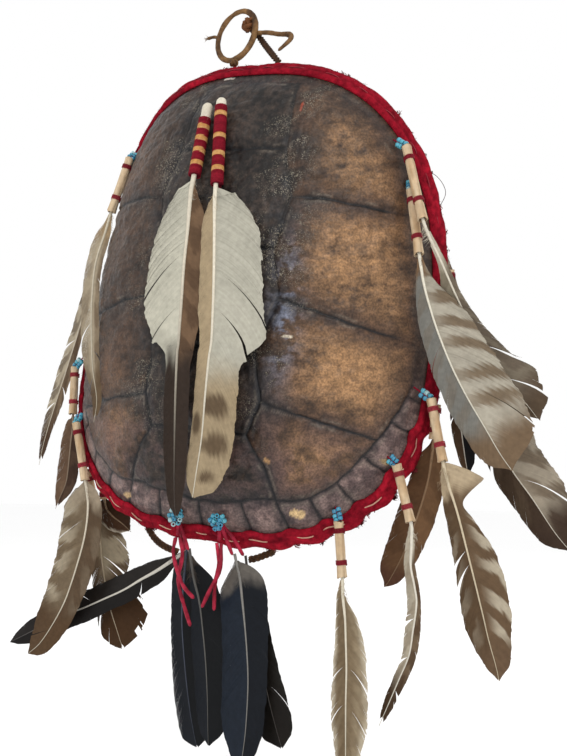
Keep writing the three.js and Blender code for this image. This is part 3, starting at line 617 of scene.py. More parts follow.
SHELL_NET = 301
INNER_RINGS = 44
INNER_STEPS = 150
GROOVE_DEPTH = 1.0
GROOVE_WIDTH = 1.05
RIB_PITCH = 31
COSTAL_BROWN = ("38281f", "6c4f3b")
SPINE_BROWN = ("191412", "463931")
RIM_BROWN = ("544241", "957c75")
BONE_BROWN = ("b79f7c", "7d6244")
# Gold colours of the costals, and the blue-grey of a painted sheen
COSTAL_GOLD, LEFT_GOLD, BLUISH_SHEEN = "ad835a", "9a7453", "8b92a6"
STRETCH_BROWN, TAIL_BROWN, EDGE_SHADE, RIB_SHADE = "1d1715", "6d5450", "191412", "54402e"
# Seam colours: painted shade beside the seams, the dark seam line, and a painted highlight on the edge of
# each scute
SEAM_SHADE, SEAM_BLACK, SEAM_LIP_HIGHLIGHT = "1e1f25", "101115", "857b6d"
RISE = {"vertebral": 3.0, "costal": 2.5, "marginal": 0.8}
# Flakes where the horn has chipped off, and small marks: plan place, size, colour
CHIPS = [
    ((71.7, -145.6), (5.6, 2.6), "c9aa7c"), ((-65.8, -150.7), (4.6, 3), "b99a70"),
    ((122.7, -104), (3, 2), "a58c68"), ((45.5, 134.6), (1.3, 5), "8a3a26"),
    ((-21.5, 163), (6, 1.2), "d8d0c4"), ((60, -28), (3.6, 1.2), "c3b7a2"),
    ((52, -112), (3.2, 2.2), "a98258"),
]
# Darker stretches of the horn: plan place, size, strength
DARK_STRETCHES = [((54, 94), (15, 30), 0.8), ((-82, 18), (22, 40), 0.4)]


# Angles at even steps of length round the rim
def rim_angles(shares):
    dense = np.linspace(-180, 180, 6001)
    rim = on_dome(*plan_point(dense, 1.0))
    length = np.append(0, np.cumsum(np.linalg.norm(np.diff(rim, axis=0), axis=1)))
    return np.interp(np.asarray(shares) % 1, length / length[-1], dense), length[-1]


# Plan points of an even net: square rings of points drawn out to the rings of the outline
def even_net(count):
    a, b = np.meshgrid(np.linspace(-1, 1, count), np.linspace(-1, 1, count), indexing="ij")
    ring = np.maximum(np.abs(a), np.abs(b))
    wide = np.abs(a) >= np.abs(b)
    safe = np.where(ring > 0, ring, 1)
    eighths = np.where(wide, b * np.sign(a) / safe, 2 - a * np.sign(b) / safe)
    eighths = eighths + np.where(np.where(wide, a, b) < 0, 4, 0)
    return *plan_point(rim_angles(eighths / 8)[0], ring), ring


# How plain the seam of the marginal scutes is: the cloth hides most of it except towards the tail
def marginal_seam(u, w):
    around = np.degrees(np.abs(np.arctan2(u / HALF_WIDTH, w / HALF_LENGTH)))
    return 0.15 + 0.85 * ramp(96, 118, around)


def shell_height(u, w, seam, ring, owner, kinds):
    height = np.zeros(u.shape)
    for kind, rise in RISE.items():
        body = np.interp(1 - ring, [0, 0.14, 0.55, 1], [0.1, 0.6, 1.4, rise])
        if kind == "marginal":
            body = np.interp(1 - ring, [0, 1], [0, rise])
        height = np.where(kinds[owner] == kind, body, height)
    rings = np.sin(2 * math.pi * (7 * ring + 0.5 * cloud(8, u / 40, w / 40)))
    height += 0.14 * rings * ramp(1, 6, seam) * (0.6 + 0.6 * cloud(9, u / 35, w / 35))
    fibrous = cloud(14, u / 22, (w - 0.25 * u) / 4.5)
    height += 0.9 * cloud(12, u / 16, w / 16) + 0.2 * cloud(13, u / 3.5, w / 3.5, 2) + 0.22 * fibrous
    near_edge = ramp(0.86, 0.9, np.hypot(u / HALF_WIDTH, w / HALF_LENGTH))
    plain = 1 + (marginal_seam(u, w) - 1) * near_edge
    return height - GROOVE_DEPTH * plain * bell(seam, 0, GROOVE_WIDTH)


# Paint of the horn: slate-dark along the spine and at the seams, clouded with gold on the right side
def shell_paint(u, w, share, seam, owner, kinds):
    broad, patch, fine = cloud(21, u / 38, w / 38), cloud(22, u / 13, w / 13), cloud(23, u / 3.6, w / 3.6)
    bend = 6 * cloud(18, u / 30, w / 30)
    brushed = cloud(24, (u + bend) / 24, (w + bend - 0.25 * u) / 5)
    tone = 0.4 * broad + 0.3 * patch + 0.3 * fine + 0.3 * brushed
    # Costals on the left are painted darker: painted shade on the side turned away from the light
    costal = mixed(*COSTAL_BROWN, ramp(-0.9, 0.9, tone)) * (1 - 0.27 * (u < 0))[..., None]
    gold = np.clip(0.8 + 0.3 * broad + 0.15 * patch + 0.25 * brushed + 0.3 * fine, 0, 1)
    costal = mixed(costal, COSTAL_GOLD, 0.9 * gold * ramp(-2, 27, seam) * ramp(42, 92, u))
    left_gold = bell(u, -66, 22) * bell(w, -96, 30)
    costal = mixed(costal, LEFT_GOLD, 0.6 * left_gold * gold)
    spine = mixed(*SPINE_BROWN, ramp(-0.9, 0.9, tone + 0.3 * fine))
    paint = np.where((kinds[owner] == "vertebral")[..., None], spine, costal)
    near_spine = 1 - ramp(38, 80 + 18 * ramp(40, 100, w), np.abs(u))
    paint = mixed(paint, spine, 0.92 * near_spine * ramp(-1.3, -0.1, broad + 0.5 * patch))
    for (cu, cw), (half_u, half_w), strength in DARK_STRETCHES:
        near = bell(u, cu, half_u) * bell(w, cw, half_w)
        near = near * ramp(-1, 0.3, broad + 0.5 * patch + 0.5 * fine)
        paint = mixed(paint, STRETCH_BROWN, strength * near)
    rearward = ramp(-60, -118, w)
    paint = mixed(paint, TAIL_BROWN, 0.45 * rearward * ramp(-0.5, 0.6, patch + 0.5 * brushed))
    plain = marginal_seam(u, w)
    in_rim = kinds[owner] == "marginal"
    rim = mixed(*RIM_BROWN, ramp(-0.8, 0.8, tone + 0.3 * fine))
    paint = mixed(paint, rim, np.where(in_rim, plain, 0))
    # A painted blue-grey sheen: a painted highlight on the glossy ridge beside the spine
    bluish_sheen = bell(u, 56, 9) * bell(w, -12, 36)
    paint = mixed(paint, BLUISH_SHEEN, 0.85 * bluish_sheen * ramp(-0.4, 0.7, fine + patch))
    inner = 1 - 0.6 * ramp(66, 118, np.abs(u))
    shade = bell(seam, 0, 8) * inner * ramp(-0.7, 0.4, patch + broad)
    paint = mixed(paint, SEAM_SHADE, 0.66 * shade)
    near_edge = ramp(0.84, 0.9, np.hypot(u / HALF_WIDTH, w / HALF_LENGTH))
    faint = 1 - 0.75 * bell(np.abs(u), 46, 8) * ramp(-70, -30, w)
    faint = faint * (1 + (0.95 * plain - 1) * near_edge)
    line = bell(seam, 0, 0.95) + 0.25 * bell(seam, 0, 4) * ramp(-0.8, 0.4, patch)
    paint = mixed(paint, SEAM_BLACK, np.clip(line * faint, 0, 1))
    # A painted highlight: a paler line where light would catch the edge of the scute beside each seam
    lip_highlight = bell(seam, 2.6, 0.8) * ramp(0.1, 0.9, patch + 0.6 * fine)
    paint = mixed(paint, SEAM_LIP_HIGHLIGHT, 0.35 * lip_highlight)
    paint = mixed(paint, EDGE_SHADE, 0.6 * (1 - 0.7 * plain) * ramp(0.905, BAND_SHARE, share))
    for (cu, cw), (half_u, half_w), colour in CHIPS:
        far = np.hypot((u - cu) / half_u, (w - cw) / half_w) + 0.3 * cloud(41, u / 2.5, w / 2.5, 2)
        paint = mixed(paint, colour, 1 - ramp(0.8, 1.0, far))
    return paint


# Where pale dust lies on the horn
def shell_dust(u, w):
    sides = bell(np.abs(u), 46, 20) * ramp(-120, -60, w)
    clumps = ramp(-0.1, 0.9, cloud(31, u / 20, w / 20) + 0.7 * cloud(32, u / 6, w / 6))
    return np.clip(0.8 * (0.12 + 0.88 * sides) * clumps, 0, 1)


def shell():
    shape = Shape()
    u, w, share = even_net(SHELL_NET)
    seam, ring, owner, found = scute_fields(u, w)
    kinds = np.array([kind for _, _, kind in found])
    settle = 1 - ramp(BAND_SHARE - 0.02, BAND_SHARE, share)
    outer = on_shell(u, w, shell_height(u, w, seam, ring, owner, kinds) * settle)
    at_rim = share > 0.999
    outer[at_rim] = on_dome(u, w)[at_rim]
    paint = shell_paint(u, w, share, seam, owner, kinds)
    shape.add(outer, net(SHELL_NET, SHELL_NET), paint.reshape(-1, 3), dust=shell_dust(u, w))
    turn = rim_angles(np.arange(INNER_STEPS) / INNER_STEPS)[0]
    angle, share = np.meshgrid(turn, np.linspace(0.004, 1, INNER_RINGS))
    u, w = plan_point(angle, np.minimum(share, 0.985))
    ridge = 4.5 * bell(u, 0, 6) * (0.75 + 0.25 * np.cos(2 * math.pi * w / RIB_PITCH))
    ribs = 1.8 * ramp(0.15, 0.9, np.cos(2 * math.pi * (w + 6) / RIB_PITCH)) * ramp(4, 14, np.abs(u))
    fade = 1 - ramp(0.72, 0.88, share)
    inner = on_shell(u, w, -SHELL_THICKNESS - (ridge + ribs) * fade)
    stain = ramp(-1.2, 1.6, cloud(51, u / 40, w / 40) + 0.5 * cloud(52, u / 4, w / 4))
    bone = mixed(*BONE_BROWN, stain)
    between = np.abs((w + 21.5) % RIB_PITCH - RIB_PITCH / 2)
    bone = mixed(bone, RIB_SHADE, 0.6 * (1 - ramp(0, 2.5, between)) * fade)
    shape.add(inner, net(INNER_RINGS, INNER_STEPS, round_columns=True), bone.reshape(-1, 3), 1)
    make(shape, [HORN, BONE], "shell")


# Cloth binding along the edge: its section, along the shell towards the edge and out from its face
BINDING_SECTION = [
    (-10.6, 0.7), (-10.2, 2.9), (-8.3, 4.1), (-5.2, 3.9), (-2.4, 4.7), (0.6, 4.9), (3.4, 3.2),
    (4.6, -1.5), (3.4, -6.4), (-2, -8.2), (-8.4, -5.7), (-4, -5.4), (0.4, -5.3), (0.4, 0.4), (-6, 0.4),
]
BINDING_STEPS = 900
STITCH_PITCH = 26
STITCH_LENGTH = 12
STITCH_LINE = -5.0
STITCH_POINTS = 11
STITCH_THREAD = ("9c3c44", "deb79c")
TUFTS = 110
FUZZ = 6000
WOOL_RED = ("700f1d", "a61a2c")
TUFT_RED = ("4a161b", "84383b")
LOOSE_BROWN = "4d3330"
LOOSE_THREAD = [(143.5, 14, -141), (148.5, 15, -145), (153, 15, -152), (154, 15, -159), (149, 15, -168)]


# The edge at angles round it: the rim, the way to it along the shell and the way out of its face
def edge(angle):
    here = np.abs(angle)
    after = np.clip(np.searchsorted(STATIONS, here), 1, TAIL)
    low, high = RIM_LEVELS[after - 1], RIM_LEVELS[after]
    eased = ramp(STATIONS[after - 1], STATIONS[after], here)
    rim = on_dome(*plan_point(angle, 1 + low + (high - low) * eased))
    border = on_shell(*plan_point(angle, BAND_SHARE))
    towards = unit(rim - border)
    ahead = on_dome(*plan_point(angle + 0.5, 1.0)) - on_dome(*plan_point(angle - 0.5, 1.0))
    return rim, towards, unit(np.cross(ahead, towards))


def binding():
    shape = Shape()
    share = np.arange(BINDING_STEPS) / BINDING_STEPS
    angle, round_length = rim_angles(share)
    at = share * round_length
    rim, towards, out = edge(angle)
    section = np.array(BINDING_SECTION)
    closed = smooth(np.vstack([section[-2:], section, section[:2]]), 3)[6:6 + 3 * len(section)]
    along, lift = closed[:, 0], closed[:, 1]
    lumps = cloud(61, at[:, None] / 16, along / 9)
    creases = cloud(62, at[:, None] / 4.5, (along + lift) / 5)
    puff = 1 + 0.1 * lumps + 0.05 * creases
    pull = np.cos(2 * math.pi * at / STITCH_PITCH)[:, None] * 0.03
    outward = np.where(lift > 0, lift * (puff + pull), lift * (1 + 0.05 * lumps))
    past = np.where(along > 0, along * (1 + 0.16 * lumps), along)
    points = rim[:, None] + towards[:, None] * past[..., None] + out[:, None] * outward[..., None]
    # The wool is painted darker in the valley along the stitch line and lighter where its lumps and creases
    # bulge out: painted shade and painted highlight
    valley_shade = bell(along, STITCH_LINE, 1.3) * (lift > 0)
    tone = 0.5 + 0.3 * lumps + 0.25 * creases - 0.3 * valley_shade
    paint = mixed(*WOOL_RED, np.clip(tone, 0, 1))
    shape.add(points, net(BINDING_STEPS, len(closed), True, True)[:, ::-1], paint.reshape(-1, 3))
    stitches(shape, round_length)
    fuzz(shape)
    shape.add(*tube(even(smooth(LOOSE_THREAD), 0.6)[1], 0.22, 5), LOOSE_BROWN, 1)
    make(shape, [WOOL, THREAD], "edge_binding")


def stitches(shape, round_length):
    count = int(round_length / STITCH_PITCH)
    starts = (np.arange(count) + rng.uniform(-0.16, 0.16, count)) / count
    for start in starts:
        span = STITCH_LENGTH * rng.uniform(0.7, 1.3) / round_length
        along = np.linspace(0, 1, STITCH_POINTS)
        rim, towards, out = edge(rim_angles(start + span * along)[0])
        rise = 3.6 + 0.75 * np.sin(math.pi * along) ** 0.5
        slide = STITCH_LINE + rng.uniform(-0.8, 0.8) * (2 * along - 1)
        low = ramp(100, 125, np.abs(rim_angles(start)[0]))
        thread = tube(rim + towards * slide[:, None] + out * rise[:, None], 0.32 + 0.18 * low, 7)
        shape.add(*thread, mixed(*STITCH_THREAD, low * rng.uniform(0.6, 1)), 1)


# A short flat fibre as two narrow faces
def fibre(shape, root, tip, half, colour, slot=0):
    side = unit(np.cross(tip - root, (0.3, -1, 0.2))) * half
    bend = 0.55 * root + 0.45 * tip + rng.normal(0, 0.18, 3) * np.linalg.norm(tip - root)
    middles = [(root, 1), (bend, 0.8), (tip, 0.1)]
    points = [middle + way * share * side for middle, share in middles for way in (-1, 1)]
    shape.add(points, [(0, 1, 3, 2), (2, 3, 5, 4)], colour, slot)


def fuzz(shape):
    rim, towards, out = edge(rim_angles(rng.uniform(0, 1, FUZZ))[0])
    section = np.array(BINDING_SECTION)[:11]
    place = rng.uniform(0, len(section) - 1, FUZZ)
    along = np.interp(place, np.arange(len(section)), section[:, 0])
    lift = np.interp(place, np.arange(len(section)), section[:, 1])
    root = rim + towards * along[:, None] + out * lift[:, None] * 0.97
    away = unit(towards * (along + 2)[:, None] * 0.4 + out * lift[:, None])
    tip = root + away * rng.uniform(0.3, 1.1, (FUZZ, 1)) + rng.normal(0, 0.5, (FUZZ, 3))
    for start, end in zip(root, tip):
        fibre(shape, start, end, 0.07, mixed(*WOOL_RED, rng.uniform(0.2, 1.2)))
    rim, towards, out = edge(rim_angles(rng.uniform(0, 1, TUFTS))[0])
    for base, edgeward, outward in zip(rim, towards, out):
        root = base + edgeward * 4.2 + outward * rng.uniform(-2, 2.5)
        tuft = mixed(*TUFT_RED, rng.uniform(0, 1))
        size = rng.uniform(0.3, 1)
        for _ in range(int(40 * size)):
            tip = root + edgeward * rng.uniform(0.6, 2.8) * size + rng.normal(0, 1.1, 3)
            fibre(shape, root + rng.normal(0, 1.1, 3), tip, 0.35, tuft * rng.uniform(0.7, 1.3))


# Feathers: single barbs side by side on a shaft
QUILL_RADIUS = 1.5
QUILL_START = 0.25
SHAFT_SIDES = 10
BARE_QUILL = 5
VANE_CURL = 0.1
BARB_PITCH = 0.7
BARB_STEPS = 8
CLUMP_BARBS = 6
PEG_RADIUS = 3.9
TIP_ROUNDING = 7
THINNEST_VANE = 1.9
BLOTCH_BROWN = "4d3a2a"
HUNG_SEED, TIED_SEED, CENTRE_SEED, SLEEVE_SEED = 1, 40, 60, 200

# Rows are the courses of the solids, with the widths of the vanes on the left and right.
# Bars have a count, a colour and a strength on each side. Other markings have a colour and a place.
# Fuller widens a side up to a share of its length. Splits have a side, a place and a gap.
# Blue-black feathers; their grey-brown foot is partly the down's own colour and partly a painted grey sheen
BLACK = dict(sides=("151920", "0e1013"), base=("4a423b", 0.08), dark=True, down=60)
HUNG_FEATHERS = {
    "left_upper_feather_front": dict(
        top=(-88, -17, -108), hole=(-52, 0.94), sides=("b5a68d", "93826b"), bars=(5, "6d5b48", 0.4, 0.6),
        inner=("bfb199", 0.4), base=("a8906f", 0.16), tip=("6b5843", 0.75), shaft="cfc4ad", fray=0.06,
        fuller={-1: (4, 0.75), 1: (1, 0.75)}, splits=[(-1, 0.62, 3), (1, 0.72, 4), (-1, 0.84, 5)],
        rows=[
            (-103, -19, -150, 1.6, 1.6), (-106, -22, -166, 5, 4), (-112, -26, -192, 6, 5),
            (-111, -31, -221, 6, 5.5), (-108, -35, -245, 6.5, 5.5), (-104, -38, -274, 6, 5.5),
            (-99, -39, -299, 4.5, 4), (-102, -38, -316, 1, 1)]),
    "left_upper_feather_back": dict(
        top=(-97, -5, -108), hole=(-50, 0.945), sides=("bfb29b", "7d6a55"), bars=(8, "574536", 0.6, 0.6),
        base=("cbbfa9", 0.35), tip=("523f31", 0.82), shaft="d5cab4", fray=0.1,
        splits=[(-1, 0.55, 4), (-1, 0.8, 5), (1, 0.72, 4)],
        rows=[
            (-114, -3, -144, 1.6, 1.6), (-121, 0, -156, 4, 4), (-131, 4, -176, 5, 4),
            (-141, 8, -200, 6, 4), (-153, 12, -232, 8, 4), (-165, 13, -264, 9, 6), (-178, 14, -297, 8, 6),
            (-188, 14, -326, 5, 4), (-193, 14, -347, 1, 1)]),
    "left_middle_feather": dict(
        top=(-149, 1, -268), hole=(-101, 0.94), sides=("6b5341", "46342a"), bars=(3, "7d654f", 0.4, 0.2),
        shaft="8d7a64", fuller={-1: (4, 0.9), 1: (2, 0.9)},
        rows=[
            (-150, 1, -306, 1.6, 1.6), (-152, 4, -315, 4, 4), (-155, 6, -327, 6, 6),
            (-158, 8, -343, 7, 7), (-161, 9, -360, 7, 7), (-167, 9, -373, 4, 3),
            (-171, 9, -382, 1.2, 1.2)]),
    "left_lower_feather_front": dict(
        top=(-137, -12, -314), hole=(-118, 0.943), sides=("7b6a54", "5f4d3b"),
        bars=(6, "b3a68f", 0.85, 0.15), bar_edge=True, slant=0.12, span=(0.03, 0.68),
        base=("a59680", 0.14), tip=("5a4531", 0.68), shaft="d9cfb9",
        fuller={-1: (2.5, 0.92), 1: (2, 0.92)}, splits=[(-1, 0.35, 1), (-1, 0.93, 3)],
        rows=[
            (-128, -11, -359, 1.8, 1.8), (-127, -10, -367, 12, 8), (-127, -8, -378, 21, 10),
            (-128, -8, -393, 23, 11), (-131, -8, -408, 23, 12), (-136, -8, -424, 21, 13),
            (-142, -7, -439, 20, 12), (-149, -6, -454, 19, 11), (-160, -5, -471, 16, 10),
            (-173, -4, -487, 11, 8), (-185, -3, -496, 3, 3)]),
    "left_lower_feather_inner": dict(
        top=(-119.9, 1.7, -361.4), sides=("4b3424", "402b1c"), edge=("cfc4b0", 0.85), shaft="8d7558",
        fray=0.08, fuller={1: (3, 0.9), -1: (3, 0.9)},
        rows=[
            (-120.5, 4.4, -373, 1.6, 1.6), (-119.7, 6.6, -381, 7, 7), (-114.5, 7.5, -387, 9, 9),
            (-106, 9, -393, 6, 6), (-99, 10, -399, 1.2, 1.2)]),
    "left_lower_feather_back": dict(
        top=(-134, 0, -351), sides=("a08e74", "b3a58c"), bars=(3, "5e4530", 0.7, 0.8),
        tip=("48321f", 0.48), shaft="bfae92", fray=0.14, fuller={1: (3, 0.9), -1: (3, 0.9)},
        splits=[(1, 0.55, 5), (1, 0.78, 5), (-1, 0.82, 5)],
        rows=[
            (-135, 16, -388, 1.6, 1.6), (-135, 18, -398, 5, 12), (-134, 20, -410, 8, 20),
            (-133, 21, -424, 9, 22), (-131, 22, -438, 10, 18), (-128, 22, -452, 11, 22),
            (-123, 22, -466, 13, 27), (-118, 22, -478, 13, 24), (-113, 22, -490, 7, 12)]),
    "bottom_right_feather": dict(
        top=(86, -21, -386), hole=(144.5, 0.94), sides=("85735a", "9b8a70"),
        bars=(11, "66533d", 0.4, 0.35), inner=("75634b", 0.5), edge=("c9bda6", 0.55),
        base=("a08c6f", 0.12), shaft="e2d9c3", fray=0.13, slant=0.16,
        splits=[(1, 0.55, 2), (-1, 0.7, 2), (-1, 0.5, 1.5), (1, 0.75, 1.5)],
        rows=[
            (88, -20, -423, 1.6, 1.6), (88, -19, -436, 5, 2), (89, -18, -450, 7, 8),
            (89, -17, -463, 8, 12), (89, -16, -484, 10, 14), (88, -15, -504, 11, 15),
            (87, -13, -526, 10, 14), (86, -11, -547, 7, 9), (85, -10, -562, 1.5, 1.5)]),
    "bottom_right_twisted_feather": dict(
        top=(123, -8, -348), hole=(122, 0.94), sides=("b8ad99", "5f4b39"), bars=(6, "85725b", 0.4, 0.5),
        base=("cabfab", 0.2), tip=("4a3828", 0.75), shaft="e8e1d0", fray=0.12,
        splits=[(-1, 0.5, 4), (-1, 0.68, 4), (1, 0.85, 4)],
        rows=[
            (132, -7, -386, 1.6, 1.6), (132, -6, -400, 4, 2), (131, -5, -415, 5, 3),
            (133, -4, -428, 6, 3), (134, -3, -440, 7, 3), (131, -2, -458, 6, 5), (128, -2, -474, 5, 5),
            (121, -2, -490, 4, 5), (114, -1, -505, 4, 4), (106, 0, -522, 1.2, 1.2)]),
    "right_lower_feather_front": dict(
        top=(146, -2, -304), hole=(102.5, 0.94), sides=("5f4b37", "6e5842"),
        bars=(7, "c4b8a2", 0.25, 0.9), bar_edge=True, slant=0.1, span=(0.28, 0.84), base=("bda98b", 0.2),
        tip=("6b5541", 0.86), shaft="d8c8aa", fuller={1: (1, 0.98)}, down=90,
        splits=[(-1, 0.5, 4), (-1, 0.58, 5)],
        rows=[
            (154, -5, -346, 1.6, 1.6), (156, -4, -356, 4, 10), (158, -4, -364, 6, 22),
            (161, -3, -374, 8, 5), (164, -2, -386, 9, 8), (168, -1, -404, 10, 15), (172, 1, -423, 12, 18),
            (177, 2, -446, 14, 17), (180, 3, -461, 12, 14), (184, 4, -477, 7, 9),
            (186, 4, -487, 1.5, 1.5)]),
    "right_lower_feather_back": dict(
        top=(146.6, 8.4, -307), sides=("664a33", "7a5b40"), bars=(5, "4a3424", 0.3, 0.35),
        tip=("55392a", 0.85), shaft="8d6f50", fuller={-1: (5, 0.98), 1: (2, 0.98)},
        rows=[
            (143.6, 12.2, -330, 1.6, 1.6), (141.5, 12.6, -345, 6, 6), (139, 13, -358, 8, 9),
            (134, 14, -374, 10, 10), (127, 15, -392, 10, 10), (119, 15, -411, 9, 8),
            (110, 15, -427, 5, 4), (106, 15, -432, 1.5, 1.5)]),
    "right_upper_feather_front": dict(
        top=(136.8, -11.5, -160.6), hole=(61, 0.94), sides=("85837c", "bab2a1"),
        bars=(8, "78654f", 0.3, 0.9), slant=0.09, span=(0.05, 0.78), base=("85694f", 0.1),
        tip=("78634d", 0.8), shaft="ece5d2", splits=[(1, 0.88, 2.5), (-1, 0.5, 1.2)],
        rows=[
            (144, -19, -208, 1.6, 1.6), (147, -19, -229, 6, 8), (151, -18, -246, 10, 18),
            (156, -17, -263, 12, 24), (164, -15, -285, 14, 28), (173, -12, -305, 15, 30),
            (183, -9, -324, 15, 30), (192, -7, -341, 12, 24), (199, -5, -352, 2, 4)]),
    "right_upper_feather_middle": dict(
        top=(134.8, -14, -130.7), hole=(49.5, 0.946), sides=("8a7f6c", "76695a"),
        bars=(7, "a39984", 0.5, 0.3), base=("cbc1ad", 0.25), tip=("5d4d3d", 0.85), shaft="e2d9c6",
        fray=0.08, splits=[(1, 0.8, 6), (1, 0.93, 5)],
        rows=[
            (148.6, -25, -186.5, 1.6, 1.6), (159.5, -20, -215.4, 3, 3), (166.7, -12, -236.6, 10, 4),
            (174, -3, -256, 16, 7), (182, 0, -271, 18, 10), (190, 2, -286, 18, 14),
            (198, 4, -297, 16, 20), (207, 6, -308, 12, 15), (214, 8, -318, 3, 3)]),
    "right_upper_feather_back": dict(
        top=(141, 25, -150.5), sides=("4a3b2e", "aea28f"), bars=(8, "6b5a48", 0.3, 0.75), slant=0.08,
        tip=("43342a", 0.87), shaft="e3dac7", fuller={1: (3, 0.95)}, splits=[(-1, 0.72, 5), (1, 0.9, 4)],
        rows=[
            (147, 27, -186.5, 1.6, 1.6), (152, 29, -224, 4, 4), (157, 33, -253, 10, 10),
            (164, 31, -280, 12, 14), (173, 30, -307, 14, 18), (183, 29, -329, 14, 20),
            (192, 29, -350, 14, 20), (206, 30, -371, 14, 20), (219, 31, -392, 12, 15),
            (229, 32, -405, 2, 3)]),
    "right_upper_feather_inner": dict(
        top=(156.2, 15.2, -213.2), sides=("594433", "1e1c1d"), shaft="e6dfd0", splits=[(-1, 0.7, 2)],
        rows=[
            (156.2, 16.2, -235.2, 1.6, 1.6), (158, 17, -258, 5, 5), (159, 18, -280, 7, 8),
            (160, 19, -300, 7, 9), (161, 19, -322, 7, 9), (163, 20, -342, 5, 7), (165, 20, -355, 2, 3)]),
}
TIED_FEATHERS = {
    "bottom_black_feather_1": dict(
        BLACK, shaft="3b4150", quill=1.0, fray=0.015,
        rows=[
            (-31, -21, -409, 1.6, 1.6), (-33, -20, -424, 10, 6), (-35, -19, -441, 10, 10),
            (-36, -18, -460, 10, 12), (-35, -17, -480, 11, 14), (-33, -16, -502, 12, 15),
            (-30, -15, -524, 12, 15), (-27, -14, -540, 11, 14), (-25, -14, -547, 6, 9)]),
    "bottom_black_feather_2": dict(
        BLACK, shaft="5b5954", quill=1.1, fray=0.015, fuller={1: (4, 0.9)},
        rows=[
            (-25, -26, -412, 1.5, 1.5), (-22, -26, -428, 4, 9), (-18, -25, -444, 7, 13),
            (-15, -25, -464, 10, 15), (-13, -24, -486, 11, 15), (-12, -23, -510, 10, 14),
            (-12, -22, -530, 8, 11), (-12, -21, -543, 3, 4)]),
    "bottom_black_feather_3": dict(
        # Its paler grey foot and its lighter, bluer left vane stand partly for a painted sheen
        BLACK, sides=("1c2430", "12161d"), base=("6a645d", 0.16), shaft="84817b", quill=1.1,
        splits=[(1, 0.3, 1)], fray=0.015, fuller={-1: (4, 0.88), 1: (4, 0.88)},
        rows=[
            (14, -31, -414, 1.6, 1.6), (17, -31, -426, 11, 13), (19, -31, -441, 14, 14),
            (21, -31, -458, 15, 13), (22, -30, -474, 16, 11), (23, -30, -492, 17, 10),
            (22, -29, -510, 17, 9), (20, -28, -530, 15, 8), (17, -27, -547, 9, 6),
            (14, -26, -557, 2, 2)]),
    "bottom_black_feather_4": dict(
        BLACK, sides=("17130f", "19140f"), shaft="4a443f", quill=1.0, fray=0.02, fuller={1: (3, 0.95)},
        splits=[(1, 0.8, 1.5)],
        rows=[
            (17, -21, -416, 1.5, 1.5), (19, -20, -434, 4, 5), (21, -19, -450, 7, 7),
            (24, -18, -470, 9, 8), (28, -17, -490, 11, 9), (33, -16, -512, 13, 10),
            (38, -15, -530, 13, 9), (41, -14, -540, 7, 5)]),
    "bottom_black_feather_left": dict(
        BLACK, sides=("1f1a17", "15110f"), shaft="d3cdc0", shaft_tip="4a4441",
        splits=[(1, 0.3, 3), (-1, 0.6, 1.5)],
        rows=[
            (-36, -16.4, -411, 1.6, 1.6), (-48, -11, -417, 3, 4), (-65, -6, -426, 8, 9),
            (-82, -2, -434, 10, 10), (-100, 2, -443, 12, 10), (-120, 6, -451, 12, 10),
            (-140, 9, -459, 12, 11), (-162, 12, -467, 11, 11), (-183, 14, -476, 10, 10),
            (-203, 16, -485, 8, 8), (-221, 18, -493, 2, 2)]),
}
CENTRE_FEATHERS = {
    "centre_feather_left": dict(
        quill_end=(-1, -49, -90), wrap=((-2, -52, -103), (-4, -63, -147)), bands=(0.16, 0.37, 0.58, 0.8),
        sides=("d0ccba", "7a6049"), bars=(9, "4f3b2c", 0.0, 0.6), tip=("3a2f28", 0.51), shaft="ded4bf",
        shaft_tip="42362c", quill=2.3, fuller={1: (7, 0.5)}, splits=[(-1, 0.36, 3), (-1, 0.485, 2)],
        rows=[
            (-4, -64, -149, 1.8, 1.8), (-5, -66, -161, 14, 4), (-6, -68, -187, 27, 6),
            (-8, -69, -211, 30, 7), (-9, -70, -236, 32, 7), (-11, -70, -265, 23, 8),
            (-12, -70, -273, 10, 9), (-13, -70, -304, 10, 10), (-15, -67, -344, 9, 9),
            (-18, -61, -371, 6, 6), (-20, -55, -385, 1.5, 1.5)]),
    "centre_feather_right": dict(
        quill_end=(11, -51.4, -89), wrap=((11.2, -52.7, -96), (14.2, -63.7, -156)),
        bands=(0.11, 0.4, 0.63, 0.81), sides=("bba685", "bfbbab"), tip=("a99678", 0.58), shaft="eae1cc",
        quill=2.3, fuller={-1: (4, 0.5)},
        blotches=[(0.7, 0.3, 1, 0.035), (0.82, 0.35, 1, 0.04), (0.92, 0.5, 1, 0.035),
                  (0.76, 0.6, -1, 0.04)],
        splits=[(1, 0.47, 2.5), (1, 0.545, 4)],
        rows=[
            (14, -65, -158, 1.8, 1.8), (15, -68, -170, 5, 18), (16, -70, -194, 7, 32),
            (17, -72, -220, 8, 34), (17, -73, -244, 8, 35), (16, -73, -266, 8, 38),
            (14, -73, -279, 9, 24), (11, -72, -303, 9, 23), (7, -69, -330, 9, 23), (1, -65, -353, 9, 20),
            (-4, -61, -370, 4, 8)]),
}


